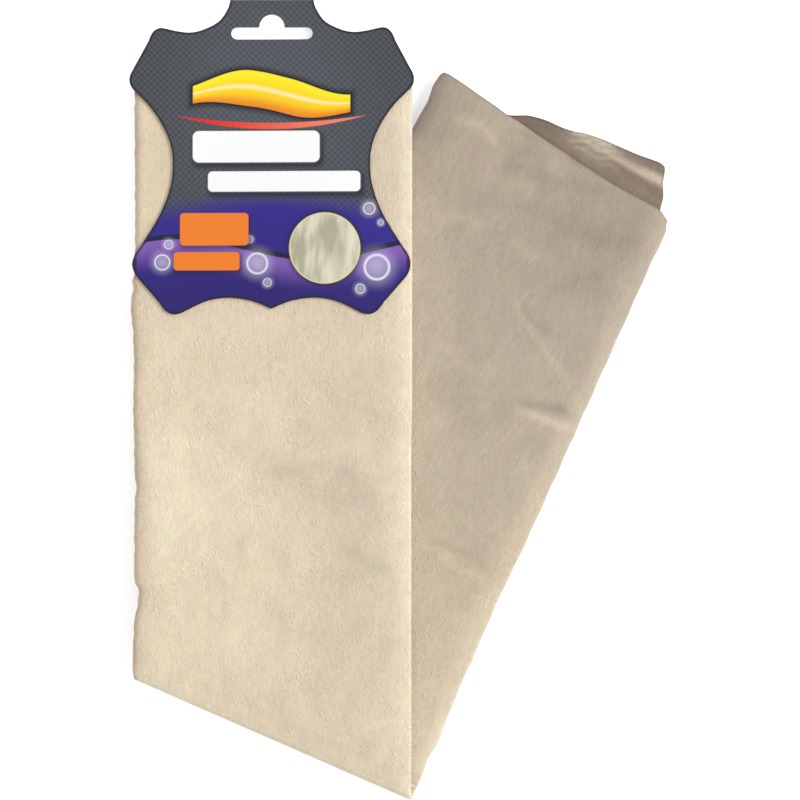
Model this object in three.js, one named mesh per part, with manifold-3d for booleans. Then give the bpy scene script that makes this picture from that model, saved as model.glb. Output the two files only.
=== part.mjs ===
// A folded chamois leather with a header card, lying flat: X across, Y up the band, Z away from the table.
// Lengths are in millimetres.
import * as THREE from 'three';
import Module from 'manifold-3d';
import { mergeVertices } from 'three/addons/utils/BufferGeometryUtils.js';

const wasm = await Module();
wasm.setup();

const { degToRad, lerp, smoothstep } = THREE.MathUtils;

// The skin: one hide, folded lengthwise into a zigzag of leaves and then across at the bottom fold
const skinThickness = 0.7;
const leafGap = 0.4;
const leafCount = 6;
const bandWidth = 108.7;
const frontLength = 227.5;
const backLength = 263.2;
const endUnevenness = 4;
const foldInset = 1.1;
const seamGap = 0.3;

// Angles of the bottom fold, of the back half's two edges, and of a whole turn's parts
const foldSlant = degToRad(23.2);
const backLeftLean = degToRad(3.6);
const backRightLean = degToRad(0.8);
const quarterTurn = degToRad(90);
const halfTurn = degToRad(180);

// The stretch over which the front half sinks from the back half's edge to the table
const drapeWidth = 75;

// The header card, its wedge round the skin's end, and the strips of adhesive that hold the skin
const boardThickness = 0.5;
const cardWidth = 112.2;
const cardHeight = 123.3;
const cardShift = -0.6;
const neckReach = 34.4;
const neckSpacing = 1;
const wedgeStart = 4;
const wedgeEnd = 50;
const panelGap = 0.3;
const adhesiveThickness = 0.25;
const adhesiveGap = 0.25;
const adhesiveWidth = 70;
const adhesiveHeight = 9;
const adhesiveDistance = 64;

// The hanging slot, a bar with a round bump above its middle
const slotWidth = 32.2;
const slotBarHeight = 4.8;
const slotBumpWidth = 10;
const slotHeight = 9.9;
const slotDistance = 15.8;

// One overrun for all cuts
const overrun = 3;

// Counts of the grids that the sheets are made of
const frontColumns = 11;
const frontRows = 15;
const bendColumns = 3;
const bendRows = 8;
const backRows = 12;
const edgeSteps = 3;
const cardColumns = 12;
const wedgeRows = 9;
const panelRows = 6;
const neckSteps = 4;
const curveSteps = 5;
const stripColumns = 12;

// Rows crowd towards a half's free end by this power
const rowBiasShare = 1.5;

// Across one leaf of the back half, with more columns where its end is cut back
const backColumnShares = [0, 0.2, 0.4, 0.6, 0.78, 0.9, 0.94, 1];

// How far each lengthwise fold lies inside the band's edge, as a share of foldInset
const foldInsetShares = [0, 0, 1, 0.8, 0, 0.5, 0.3, 0.6];

// The hide's edge at the front half's end: leaf number from the outermost, and share of endUnevenness
const frontEndShares = [
  [0, 0.2], [0.5, 0], [1, 0.3], [1.5, 0.7], [2, 0.4], [3, 0], [3.6, 0.5], [4, 1], [5, 0.6], [5.5, 0.9],
  [6, 0.5],
];

// The hide's edge at the back half's end: leaf number from the outermost, and share of backLength
const backEndShares = [
  [0, 0.958], [0.5, 0.968], [0.8, 0.95], [0.94, 0.925], [1, 0.9], [1.06, 0.918], [1.3, 0.944],
  [1.6, 0.962], [2, 0.976], [2.5, 0.966], [2.8, 0.946], [3, 0.895], [3.1, 0.925], [3.4, 0.955],
  [4, 0.968], [4.3, 0.982], [4.42, 0.991], [4.6, 0.996], [4.8, 1], [4.9, 0.997], [4.94, 0.957],
  [5, 0.919], [5.06, 0.934], [5.25, 0.945], [5.45, 0.957], [5.72, 0.977], [5.9, 0.991], [6, 0.996],
];

// The card's left side from its neck down to its tail, as shares of half the card's width and of its height
const neckShares = [
  [0.292, 0], [0.31, 0.029], [0.373, 0.07], [0.48, 0.096], [0.57, 0.1055], [0.66, 0.102], [0.755, 0.0925],
];
const shoulderShares = [[0.835, 0.083], [0.868, 0.134]];
const shoulderCornerShares = [[0.983, 0.233], [1.0265, 0.268], [0.955, 0.299]];
const flankShares = [
  [0.865, 0.34], [0.779, 0.395], [0.713, 0.46], [0.692, 0.53], [0.714, 0.61], [0.793, 0.7], [0.925, 0.797],
];
const hipCornerShares = [[1.02, 0.848], [0.935, 0.895]];
const footShares = [[0.785, 0.973], [0.715, 1.03], [0.6, 0.998]];
const bellyShares = [[0.45, 0.967], [0.3, 0.957], [0.14, 0.967], [0, 0.992]];

// Sizes that follow from those above
const leafPitch = skinThickness + leafGap;
const halfThickness = leafCount * skinThickness + (leafCount - 1) * leafGap;
const adhesiveSpace = adhesiveThickness + 2 * adhesiveGap;
const halvesGap = panelGap + boardThickness + adhesiveSpace;
const innerRadius = halvesGap / 2;
const outerRadius = innerRadius + halfThickness;
const axisHeight = halfThickness + innerRadius;
const drop = halfThickness + panelGap;
const fullSpacing = boardThickness + 2 * adhesiveSpace + halfThickness;
const neckRadius = neckSpacing / 2;
const neckTop = frontLength + neckReach;
const neckCentre = neckTop - neckRadius - boardThickness / 2;
const cardCentre = bandWidth / 2 + cardShift;
const foldShift = outerRadius * Math.tan(foldSlant);
const foldWidth = bandWidth / Math.cos(foldSlant);
const stackHeight = axisHeight + outerRadius + adhesiveSpace + boardThickness;

// Directions along the bottom fold, up the back half, and up the back half's left edge
const alongFold = new THREE.Vector3(Math.cos(foldSlant), -Math.sin(foldSlant), 0);
const upBack = new THREE.Vector3(Math.sin(foldSlant), Math.cos(foldSlant), 0);
const edgeTurn = foldSlant + backLeftLean;
const upEdge = new THREE.Vector3(Math.sin(edgeTurn), Math.cos(edgeTurn), 0);
const edgeFoot = alongFold.clone().multiplyScalar(foldShift);

const suede = { color: 0xdfcfb7, roughness: 0.95, metalness: 0 };
const printedBoard = { color: 0x52565e, roughness: 0.35, metalness: 0 };
const clearAdhesive = { color: 0xe8e0c4, roughness: 0.5, metalness: 0 };

// A closed body from its points and triangles, with its faces pointing out
function closedGeometry(points, triangles) {
  const geometry = new THREE.BufferGeometry();
  const places = points.flatMap((point) => point.toArray());
  geometry.setAttribute('position', new THREE.Float32BufferAttribute(places, 3));
  let volume = 0;
  for (let i = 0; i < triangles.length; i += 3) {
    const [a, b, c] = triangles.slice(i, i + 3).map((corner) => points[corner]);
    volume += a.clone().cross(b).dot(c);
  }
  geometry.setIndex(volume < 0 ? triangles.slice().reverse() : triangles);
  geometry.computeVertexNormals();
  return geometry;
}

// A sheet of even thickness over a grid: place(column, row, side) gives a point on its outer or inner face,
// for a side of 1 or -1
function sheetGeometry(columns, rows, place, crossed = () => false) {
  const points = [];
  for (const side of [1, -1]) {
    for (let column = 0; column < columns; column += 1) {
      for (let row = 0; row < rows; row += 1) points.push(place(column, row, side));
    }
  }
  const outer = (column, row) => column * rows + row;
  const inner = (column, row) => (columns + column) * rows + row;
  const triangles = [];
  const quad = (a, b, c, d) => triangles.push(a, b, c, a, c, d);
  const lastColumn = columns - 1;
  const lastRow = rows - 1;
  for (let column = 0; column < lastColumn; column += 1) {
    const next = column + 1;
    for (let row = 0; row < lastRow; row += 1) {
      const corners = [[column, row], [next, row], [next, row + 1], [column, row + 1]];
      if (crossed(column)) corners.push(corners.shift());
      const [a, b, c, d] = corners;
      quad(outer(...a), outer(...b), outer(...c), outer(...d));
      quad(inner(...a), inner(...d), inner(...c), inner(...b));
    }
    quad(outer(column, 0), inner(column, 0), inner(next, 0), outer(next, 0));
    quad(outer(column, lastRow), outer(next, lastRow), inner(next, lastRow), inner(column, lastRow));
  }
  for (let row = 0; row < lastRow; row += 1) {
    quad(outer(0, row), outer(0, row + 1), inner(0, row + 1), inner(0, row));
    quad(
      outer(lastColumn, row),
      inner(lastColumn, row),
      inner(lastColumn, row + 1),
      outer(lastColumn, row + 1),
    );
  }
  return closedGeometry(points, triangles);
}

// The value of a table of [place, value] pairs at a place
function valueAt(table, place) {
  const next = table.findIndex(([end]) => end >= place);
  if (next < 1) return table[next < 0 ? table.length - 1 : 0][1];
  const [[start, from], [end, to]] = [table[next - 1], table[next]];
  return lerp(from, to, (place - start) / (end - start));
}

const evenShares = (steps) => Array.from({ length: steps + 1 }, (_, step) => step / steps);
const endShares = (steps) => evenShares(steps).map((share) => 1 - (1 - share) ** rowBiasShare);

// The zigzag that the folded skin shows when cut across: each point's place across the band, its distance
// from the bottom fold's axis, the direction square to the skin there, and how many leaves it is from the
// hide's own edge
function zigzag(columnShares) {
  const turnRadius = leafPitch / 2;
  const insetOf = (fold) => foldInset * foldInsetShares[fold % foldInsetShares.length];
  const edge = (fold) => turnRadius + skinThickness / 2 + insetOf(fold);
  const section = [];
  for (let leaf = 0; leaf < leafCount; leaf += 1) {
    const forward = leaf % 2 === 0;
    const before = leaf === 0 ? leafCount : leaf - 1;
    const left = edge(forward ? before : leaf);
    const right = bandWidth - edge(forward ? leaf : before);
    const radius = outerRadius - skinThickness / 2 - leaf * leafPitch;
    const heading = forward ? 0 : -halfTurn;
    const shares = columnShares.slice(leaf === 0 ? 0 : 1, leaf === leafCount - 1 ? undefined : -1);
    for (const share of shares) {
      const across = forward ? lerp(left, right, share) : lerp(right, left, share);
      section.push({ across, radius, heading, leaves: leaf + share, crossed: !forward });
    }
    if (leaf === leafCount - 1) break;
    const centre = forward ? right : left;
    for (const share of evenShares(edgeSteps)) {
      const turned = forward ? -halfTurn * share : -halfTurn * (1 - share);
      const reach = forward ? turnRadius : -turnRadius;
      section.push({
        across: centre - reach * Math.sin(turned),
        radius: radius - turnRadius + reach * Math.cos(turned),
        heading: turned,
        leaves: leaf + 1,
        crossed: !forward,
      });
    }
  }
  return section;
}

// A point of the zigzag on the skin's outer or inner face: its place across the band, and its distance from
// the axis
function faceOf(point, side) {
  const offset = (side * skinThickness) / 2;
  return {
    across: point.across - offset * Math.sin(point.heading),
    radius: point.radius + offset * Math.cos(point.heading),
  };
}

function zigzagGeometry(columnShares, rowShares, place) {
  const section = zigzag(columnShares);
  const put = (column, row, side) => {
    const point = section[column];
    return place(faceOf(point, side), rowShares[row], point.leaves);
  };
  return sheetGeometry(section.length, rowShares.length, put, (column) => section[column].crossed);
}

// How far the front half is lifted off the table by the back half's edge below it
function lift(x, y) {
  const fromFoot = new THREE.Vector3(x, y, 0).sub(edgeFoot);
  const left = fromFoot.y * upEdge.x - fromFoot.x * upEdge.y;
  return drop * (1 - smoothstep(left, 0, drapeWidth));
}

// The distance between the card's two panels, which widens from the neck to the full thickness of the skin
function panelSpacing(y) {
  return lerp(neckSpacing, fullSpacing, smoothstep(neckCentre - y, wedgeStart, wedgeEnd));
}

// The height of the front half's underside, and how thick it is where the card's wedge squeezes its end
const undersideHeight = (x, y) => boardThickness + adhesiveSpace + lift(x, y);
const squeezedThickness = (y) => panelSpacing(y) - boardThickness - 2 * adhesiveSpace;

function skinFrontHalf() {
  const place = ({ across, radius }, share, leaves) => {
    const start = seamGap / Math.cos(foldSlant) - across * Math.tan(foldSlant);
    const end = frontLength - endUnevenness * valueAt(frontEndShares, leaves);
    const y = lerp(start, end, share);
    const depthShare = (radius - innerRadius) / halfThickness;
    return new THREE.Vector3(across, y, undersideHeight(across, y) + depthShare * squeezedThickness(y));
  };
  return zigzagGeometry(evenShares(frontColumns), endShares(frontRows), place);
}

// The bend turns about the fold's axis, and slides along it until its lowest line, so its sides stay upright
function skinBottomFold() {
  return zigzagGeometry(evenShares(bendColumns), evenShares(bendRows), ({ across, radius }, share) => {
    const turned = halfTurn * share;
    const along = across / Math.cos(foldSlant) + foldShift * Math.sin(Math.min(turned, quarterTurn));
    const point = alongFold.clone().multiplyScalar(along);
    point.addScaledVector(upBack, -radius * Math.sin(turned));
    point.z = axisHeight + radius * Math.cos(turned);
    return point;
  });
}

function skinBackHalf() {
  return zigzagGeometry(backColumnShares, endShares(backRows), ({ across, radius }, share, leaves) => {
    const up = lerp(seamGap, backLength * valueAt(backEndShares, leaves), share);
    const left = foldShift + up * Math.tan(backLeftLean);
    const right = foldShift + foldWidth + up * Math.tan(backRightLean);
    const along = lerp(left, right, across / bandWidth);
    const point = alongFold.clone().multiplyScalar(along).addScaledVector(upBack, up);
    point.z = axisHeight - radius;
    return point;
  });
}

// The outline of the die-cut card: its left side from the shares above, and the same mirrored
function cardOutline() {
  const halfWidth = cardWidth / 2;
  const corner = ([across, down]) => new THREE.Vector2(-across * halfWidth, neckTop - down * cardHeight);
  const side = new THREE.Path();
  const neck = neckShares.map(corner);
  side.moveTo(neck[0].x, neckTop + overrun);
  side.lineTo(neck[0].x, neck[0].y);
  side.splineThru(neck.slice(1));
  const rounded = (shares) => {
    const [control, end] = shares.map(corner);
    side.quadraticCurveTo(control.x, control.y, end.x, end.y);
  };
  const straight = (share) => side.lineTo(corner(share).x, corner(share).y);
  rounded(shoulderShares);
  straight(shoulderCornerShares[0]);
  rounded(shoulderCornerShares.slice(1));
  side.splineThru(flankShares.map(corner));
  rounded(hipCornerShares);
  straight(footShares[0]);
  rounded(footShares.slice(1));
  side.splineThru(bellyShares.map(corner));
  const points = side.getPoints(curveSteps);
  const leftSide = points.filter((p, i) => i === 0 || p.distanceTo(points[i - 1]) > 0);
  const rightSide = leftSide.slice(0, -1).reverse().map((p) => new THREE.Vector2(-p.x, p.y));
  return [...leftSide, ...rightSide].map((p) => new THREE.Vector2(p.x + cardCentre, p.y));
}

function slotShapes() {
  const barRadius = slotBarHeight / 2;
  const reach = slotWidth / 2 - barRadius;
  const barHeight = neckTop - slotDistance + barRadius;
  const bar = new THREE.Shape();
  bar.absarc(cardCentre - reach, barHeight, barRadius, quarterTurn, -quarterTurn, false);
  bar.absarc(cardCentre + reach, barHeight, barRadius, -quarterTurn, quarterTurn, false);
  const bumpRadius = slotBumpWidth / 2;
  const bump = new THREE.Shape();
  bump.moveTo(cardCentre + bumpRadius, barHeight);
  bump.absarc(cardCentre, neckTop - slotDistance + slotHeight - bumpRadius, bumpRadius, 0, halfTurn, false);
  bump.lineTo(cardCentre - bumpRadius, barHeight);
  return [bar, bump];
}

function asSolid(geometry) {
  const bare = geometry.clone();
  bare.deleteAttribute('normal');
  bare.deleteAttribute('uv');
  const merged = mergeVertices(bare);
  const vertProperties = new Float32Array(merged.attributes.position.array);
  const triVerts = new Uint32Array(merged.index.array);
  return new wasm.Manifold(new wasm.Mesh({ numProp: 3, vertProperties, triVerts }));
}

function asGeometry(solid) {
  const mesh = solid.getMesh();
  const geometry = new THREE.BufferGeometry();
  geometry.setAttribute('position', new THREE.Float32BufferAttribute(mesh.vertProperties, 3));
  geometry.setIndex(Array.from(mesh.triVerts));
  geometry.computeVertexNormals();
  return geometry;
}

// An upright prism that runs past both faces of the whole stack
function uprightPrism(shape) {
  const geometry = new THREE.ExtrudeGeometry(shape, {
    depth: stackHeight + 2 * overrun,
    bevelEnabled: false,
    curveSegments: curveSteps,
  });
  return asSolid(geometry.translate(0, 0, -overrun));
}

// The stations of the card's blank, from the back panel's foot over the neck fold to the front panel's foot
function blankStations() {
  const length = cardHeight + overrun;
  const downPanel = [
    ...evenShares(wedgeRows).map((share) => wedgeEnd * share),
    ...evenShares(panelRows).slice(1).map((share) => lerp(wedgeEnd, length, share)),
  ];
  const panel = (front) => {
    const heading = front ? 1 : -1;
    return downPanel.slice(1).map((down) => ({ y: neckCentre - down, front, heading }));
  };
  const neck = evenShares(neckSteps).map((share) => ({ turned: lerp(-quarterTurn, quarterTurn, share) }));
  return [...panel(false).reverse(), ...neck, ...panel(true)];
}

function headerCard() {
  const stations = blankStations();
  const blankWidth = cardWidth + 2 * overrun;
  const place = (column, row, side) => {
    const { y, front, heading, turned } = stations[row];
    const x = cardCentre + blankWidth * (column / cardColumns - 1 / 2);
    const half = boardThickness / 2;
    if (turned !== undefined) {
      const radius = neckRadius + side * half;
      const aboveBack = neckRadius + radius * Math.sin(turned);
      const turnedY = neckCentre + radius * Math.cos(turned);
      return new THREE.Vector3(x, turnedY, half + aboveBack + lift(x, neckCentre));
    }
    const aboveBack = front ? panelSpacing(y) : 0;
    return new THREE.Vector3(x, y, half + aboveBack + side * heading * half + lift(x, y));
  };
  let card = asSolid(sheetGeometry(cardColumns + 1, stations.length, place));
  card = card.intersect(uprightPrism(new THREE.Shape(cardOutline())));
  for (const shape of slotShapes()) card = card.subtract(uprightPrism(shape));
  return asGeometry(card);
}

// A strip of adhesive between a panel and the skin, on the underside or on the top of the front half
function adhesiveStrip(onTop) {
  const spacing = (y) => (onTop ? squeezedThickness(y) + adhesiveSpace : 0);
  const middle = boardThickness + adhesiveSpace / 2;
  return sheetGeometry(stripColumns + 1, 2, (column, row, side) => {
    const x = cardCentre + adhesiveWidth * (column / stripColumns - 1 / 2);
    const y = neckTop - adhesiveDistance - adhesiveHeight * row;
    return new THREE.Vector3(x, y, middle + spacing(y) + lift(x, y) + (side * adhesiveThickness) / 2);
  });
}

const chamoisLeather = new THREE.Group();

function addPiece(name, geometry, finish) {
  const mesh = new THREE.Mesh(geometry, new THREE.MeshStandardMaterial(finish));
  mesh.name = name;
  chamoisLeather.add(mesh);
}

addPiece('skin_front_half', skinFrontHalf(), suede);
addPiece('skin_bottom_fold', skinBottomFold(), suede);
addPiece('skin_back_half', skinBackHalf(), suede);
addPiece('header_card', headerCard(), printedBoard);
addPiece('front_adhesive_strip', adhesiveStrip(true), clearAdhesive);
addPiece('rear_adhesive_strip', adhesiveStrip(false), clearAdhesive);

// The origin is on the table, at the middle of the space that the whole part takes
const bounds = new THREE.Box3().setFromObject(chamoisLeather);
const middle = bounds.getCenter(new THREE.Vector3());
chamoisLeather.position.set(-middle.x, -middle.y, -bounds.min.z);

export default chamoisLeather;
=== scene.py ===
"""A folded chamois leather with a header card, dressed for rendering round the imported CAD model.

The CAD model lies flat in the row frame: X across, Y up the front half of the skin, Z away from the table.
"""

import math

import bpy
import numpy as np
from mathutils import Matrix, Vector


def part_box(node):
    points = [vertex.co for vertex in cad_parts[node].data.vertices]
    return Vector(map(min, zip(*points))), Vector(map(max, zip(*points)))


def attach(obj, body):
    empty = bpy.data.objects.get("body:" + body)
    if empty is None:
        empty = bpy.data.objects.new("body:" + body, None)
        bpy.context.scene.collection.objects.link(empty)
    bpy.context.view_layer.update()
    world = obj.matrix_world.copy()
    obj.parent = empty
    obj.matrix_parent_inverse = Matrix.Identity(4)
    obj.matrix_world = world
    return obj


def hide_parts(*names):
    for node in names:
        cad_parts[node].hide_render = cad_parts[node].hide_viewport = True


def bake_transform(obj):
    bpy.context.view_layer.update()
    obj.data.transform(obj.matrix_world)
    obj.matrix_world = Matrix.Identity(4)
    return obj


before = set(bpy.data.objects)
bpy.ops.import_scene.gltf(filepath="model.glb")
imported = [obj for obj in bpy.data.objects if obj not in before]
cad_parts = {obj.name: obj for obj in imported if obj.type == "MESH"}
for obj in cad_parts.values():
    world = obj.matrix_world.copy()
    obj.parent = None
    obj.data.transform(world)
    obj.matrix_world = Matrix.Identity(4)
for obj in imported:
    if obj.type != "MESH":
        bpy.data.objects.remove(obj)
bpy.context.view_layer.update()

bl_info = {
    "name": "Folded Chamois Leather",
    "version": (1, 0, 0),
    "blender": (4, 5, 0),
    "location": "View3D > Sidebar > Chamois",
    "description": "Models a folded chamois leather and its die-cut header card",
    "category": "Add Mesh",
}

MM = 0.001
PER_MM = 1000.0
DEGREE = math.pi / 180

# The skin, in millimetres, as in the CAD model
LEAF_COUNT = 6
LEAF_THICKNESS = 0.7
LEAF_PITCH = 1.1
BAND_WIDTH = 108.7
FRONT_LENGTH = 227.5
BACK_LENGTH = 263.2
END_UNEVENNESS = 4.0
FOLD_INSETS = (0.0, 1.3, 1.5, 1.6, 0.0)
TURN_STEPS = 8
HIDE_EDGES = (-0.6, -0.5)
HALF_THICKNESS = 6.2
INNER_RADIUS = 0.775
OUTER_RADIUS = INNER_RADIUS + HALF_THICKNESS
AXIS_HEIGHT = HALF_THICKNESS + INNER_RADIUS
BEND_SQUARENESS = 0.8
DROP = 6.5
DRAPE_WIDTH = 75.0
SETTLING = 1.1
FOLD_SLANT = 23.2 * DEGREE
BACK_LEFT_LEAN = 3.6 * DEGREE
BACK_RIGHT_LEAN = 0.8 * DEGREE
FOLD_SHIFT = OUTER_RADIUS * math.tan(FOLD_SLANT)
FOLD_WIDTH = BAND_WIDTH / math.cos(FOLD_SLANT)
ALONG_FOLD = np.array((math.cos(FOLD_SLANT), -math.sin(FOLD_SLANT)))
UP_BACK = np.array((math.sin(FOLD_SLANT), math.cos(FOLD_SLANT)))
EDGE_TURN = FOLD_SLANT + BACK_LEFT_LEAN
UP_EDGE = np.array((math.sin(EDGE_TURN), math.cos(EDGE_TURN)))
EDGE_FOOT = ALONG_FOLD * FOLD_SHIFT

# The hide's uneven ends: how many leaves from its own edge, and the share of the unevenness or of the length
FRONT_END = (
    (0, 0.2), (0.5, 0), (1, 0.3), (1.5, 0.7), (2, 0.4), (3, 0), (3.6, 0.5), (4, 1), (5, 0.6),
    (5.5, 0.9), (6, 0.5),
)
BACK_END = (
    (0, 0.958), (0.5, 0.968), (0.8, 0.95), (0.94, 0.925), (1, 0.9), (1.06, 0.918), (1.3, 0.944),
    (1.6, 0.962), (2, 0.966), (2.5, 0.966), (2.8, 0.946), (3, 0.895), (3.1, 0.925), (3.4, 0.955),
    (4, 0.966), (4.2, 0.97), (4.29, 0.976), (4.343, 0.9854), (4.4, 0.989), (4.435, 0.9899),
    (4.47, 0.989), (4.53, 0.9903), (4.56, 0.9935), (4.655, 0.9968), (4.79, 0.9964), (4.88, 0.9984),
    (4.905, 0.9958), (4.915, 0.9886), (4.925, 0.974), (4.938, 0.9616), (4.949, 0.952), (4.954, 0.938),
    (4.96, 0.9317), (4.975, 0.9265), (5, 0.922), (5.006, 0.9238), (5.014, 0.9262), (5.024, 0.9288),
    (5.036, 0.9315), (5.05, 0.9338), (5.09, 0.9355), (5.127, 0.937), (5.213, 0.9402), (5.3, 0.9452),
    (5.37, 0.95), (5.48, 0.9582), (5.568, 0.9643), (5.657, 0.9718), (5.709, 0.9744), (5.746, 0.9779),
    (5.844, 0.9858), (5.898, 0.9903), (5.943, 0.9936), (5.972, 0.9953), (5.989, 0.9952), (5.997, 0.991),
    (6, 0.986),
)

# Where the front half's left edge wavers: millimetres above the bottom fold's left end, and to the right
LEFT_EDGE = (
    (-4, 0.8), (-1, 0.45), (3, 0.35), (13, 0.3), (17.5, 0.6), (20, 1.2), (24, 2.0), (28, 2.25),
    (30, 1.9), (32, 0.85), (36, 0.5), (64, 0.55), (68, 1.25), (70, 1.25), (73, 0.6), (84, 0.4), (98, 0),
    (105, -0.15), (111, 0.2), (122, 0.1), (131, -0.25), (138.5, -1.0), (143, -0.9), (148, -0.25),
    (150.5, -0.45), (153, 0.2), (157.5, -0.65), (162, 0.5), (168, 0.6), (230, 0.3),
)

# Where the back half's right edge wavers: millimetres up it from the bottom fold, and to the right
RIGHT_EDGE = (
    (0, 0.2), (9, -0.5), (18, 0.4), (30, -0.1), (42, -0.6), (55, -0.5), (70, -0.7), (82, -0.7),
    (96, -0.2), (120, 0.1), (150, 0.2), (200, 0.3), (225, 0.35), (236, 0.65), (264, 0.65),
)

# The same for the back half's left edge
BACK_LEFT_EDGE = (
    (0, 0), (235, 0), (243, 0.2), (249, 0.5), (252, 0.1), (255.5, -0.4), (259, -0.1), (264, 0.2),
)

# The halves' soft waves: height, millimetres for each radian across and along, and phase
FRONT_WAVES = ((0.22, 17, 29, 0.6), (0.16, 9.5, -23, 2.1), (0.12, 31, -11, 4.0))
BACK_WAVES = ((0.22, 15, 34, 1.1), (0.16, 8.5, -19, 0.4), (0.12, 26, -10.5, 2.0))

# Soft creases in the row frame, in millimetres: start, end, half width, depth, and how much greyer (painted
# shade) or, below 0, lighter (painted light) they are
BACK_CREASES = (
    ((45.5, 1.9), (70.5, -10.0), 2.4, 0.4, 0.25),
    ((45.3, -6.2), (70.0, -10.0), 1.9, -0.3, -0.3),
    ((42.0, 46.4), (72.6, -6.6), 1.4, -0.18, -0.12),
    ((47.7, 40.5), (60.7, 22.0), 2.2, 0.2, 0.12),
    ((15.7, 18.7), (46.0, 8.4), 3.0, -0.2, -0.1),
    ((22.0, -5.0), (45.0, -10.0), 5.0, 0.15, 0.08),
    ((10.5, 9.6), (24.5, 3.0), 4.0, 0.1, 0.07),
    ((40.0, -16.0), (58.0, -25.0), 6.0, 0.15, 0.07),
    ((5.0, -52.0), (39.0, -68.5), 1.6, 0.25, 0.12),
    ((5.0, -56.0), (37.0, -72.5), 2.0, -0.2, -0.08),
    ((20.4, 113.2), (40.2, 98.6), 2.5, -0.25, -0.16),
    ((41.3, 106.5), (79.5, 90.0), 1.8, 0.2, 0.13),
    ((54.0, 102.0), (68.6, 95.0), 1.3, -0.15, -0.07),
    ((48.0, 95.4), (70.0, 84.3), 1.7, -0.2, -0.05),
    ((38.0, 93.0), (60.0, 90.0), 7.0, 0.1, 0.14),
    ((62.0, 50.0), (78.0, 38.0), 6.0, 0.1, 0.1),
    ((40.0, 95.8), (80.5, 77.5), 3.2, 0.25, 0.11),
    ((19.6, 80.8), (92.0, 62.0), 4.5, 0.2, 0.08),
    ((13.3, 69.3), (34.6, 70.0), 2.6, -0.2, -0.13),
    ((42.0, 64.2), (62.3, 53.5), 3.0, -0.15, -0.1),
    ((79.7, 69.0), (95.5, 54.3), 6.0, 0.1, 0.06),
)
FRONT_CREASES = (
    ((-101.3, -69.4), (-55.5, -20.8), 0.9, -0.2, -0.24),
    ((-62.0, -27.5), (-7.0, -31.0), 3.4, 0.2, 0.14),
    ((-60.0, -32.0), (-5.0, -36.0), 5.5, 0.1, 0.12),
    ((-58.7, -18.0), (-9.2, -22.0), 2.2, -0.2, -0.06),
    ((-67.4, -18.8), (-58.7, -22.0), 2.0, 0.1, 0.09),
    ((-19.0, -34.0), (-17.0, -64.3), 8.0, 0.1, 0.1),
    ((-13.2, 0.0), (-12.0, -14.5), 6.0, 0.1, 0.07),
    ((-63.4, -51.7), (-61.4, -66.7), 2.0, 0.15, 0.09),
    ((-57.5, -51.7), (-55.5, -74.6), 2.2, -0.15, -0.08),
    ((-98.0, -10.0), (-86.0, -25.0), 5.0, -0.15, -0.12),
    ((-74.0, 4.0), (-38.0, -17.0), 7.0, -0.1, -0.13),
    ((-79.0, -24.0), (-60.0, -27.0), 5.0, 0.1, 0.16),
    ((-70.0, -45.0), (-42.0, -47.0), 6.0, -0.1, -0.12),
    ((-45.0, -64.0), (-33.0, -74.0), 6.0, -0.1, -0.1),
    ((-59.0, -68.0), (-54.0, -110.0), 11.0, -0.1, -0.2),
    ((-90.0, -105.0), (-77.0, -113.0), 7.0, 0.05, 0.09),
    ((-7.0, -16.0), (-6.0, -64.0), 7.0, 0.0, -0.18),
    ((-9.0, 25.0), (-5.0, 12.0), 6.0, 0.0, -0.11),
    ((-54.0, 30.0), (-47.0, 19.0), 6.0, 0.05, 0.08),
    ((-11.0, -125.0), (-3.0, -142.0), 8.0, 0.0, -0.18),
    ((-61.0, 7.0), (-57.0, -13.0), 7.0, 0.0, -0.13),
    ((-59.0, -44.0), (-53.0, -64.0), 8.0, 0.0, -0.12),
    ((-13.0, -55.0), (-10.0, -71.0), 5.0, 0.0, 0.15),
    ((-31.0, -33.0), (-9.0, -34.5), 3.5, 0.0, 0.12),
    ((-42.0, -61.0), (-26.0, -66.0), 5.0, 0.0, -0.1),
)

# How grey (above 0) the front is, or how much lighter with a painted highlight along its right fold (below
# 0), at places across it in millimetres, and how strongly its zone of painted light on the left shows: places
# across, and millimetres above the bottom fold's left end
FRONT_GREY_AND_HIGHLIGHT = (
    (60, -0.03), (75, 0.06), (84, 0.09), (96, 0.09), (101, 0.02), (104.3, -0.3), (106.5, -0.58),
    (108.7, -0.48),
)
PAINTED_LIGHT_ACROSS = ((3, 0), (6.5, 0.8), (11, 1), (17, 0.95), (24, 0.6), (34, 0.4), (46, 0.2), (60, 0))
PAINTED_LIGHT_ABOVE = (
    (-8, 0.2), (5, 0.35), (28, 0.45), (45, 0.85), (60, 1.05), (75, 1), (95, 0.55), (110, 0.35),
    (138, 0.55),
)

# How much the back half is painted lighter beside the front half, a painted light that lifts the shade there,
# above the bottom fold's left end: close to it, and in a wider zone
PAINTED_LIGHT_BESIDE_FRONT = ((-20, 0.05), (10, 0.08), (30, 0.18), (85, 0.16), (105, 0.22), (135, 0.24))
WIDE_PAINTED_LIGHT_BESIDE_FRONT = (
    (-20, 0.02), (40, 0.08), (70, 0.1), (95, 0.22), (160, 0.22), (178, 0.26), (192, 0.1), (202, 0),
)

# The hide's hue, from cool (-1) to warm (1): places across the front half, and on the back half above the
# bottom fold's left end
FRONT_WARMTH = (
    (6, 0.42), (22, 0.3), (30, 0.18), (38, -0.05), (54, -0.1), (70, -0.3), (85, -0.55), (93, -0.7),
)
BACK_WARMTH = (
    (-25, -1), (-12, -0.8), (9, -0.25), (25, 0.25), (48, 0.65), (64, 0.35), (85, 0.2), (104, 0.15),
    (118, -0.4), (135, -0.4), (160, -0.25), (183, 0), (200, 0.45), (220, 0.55),
)

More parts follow.
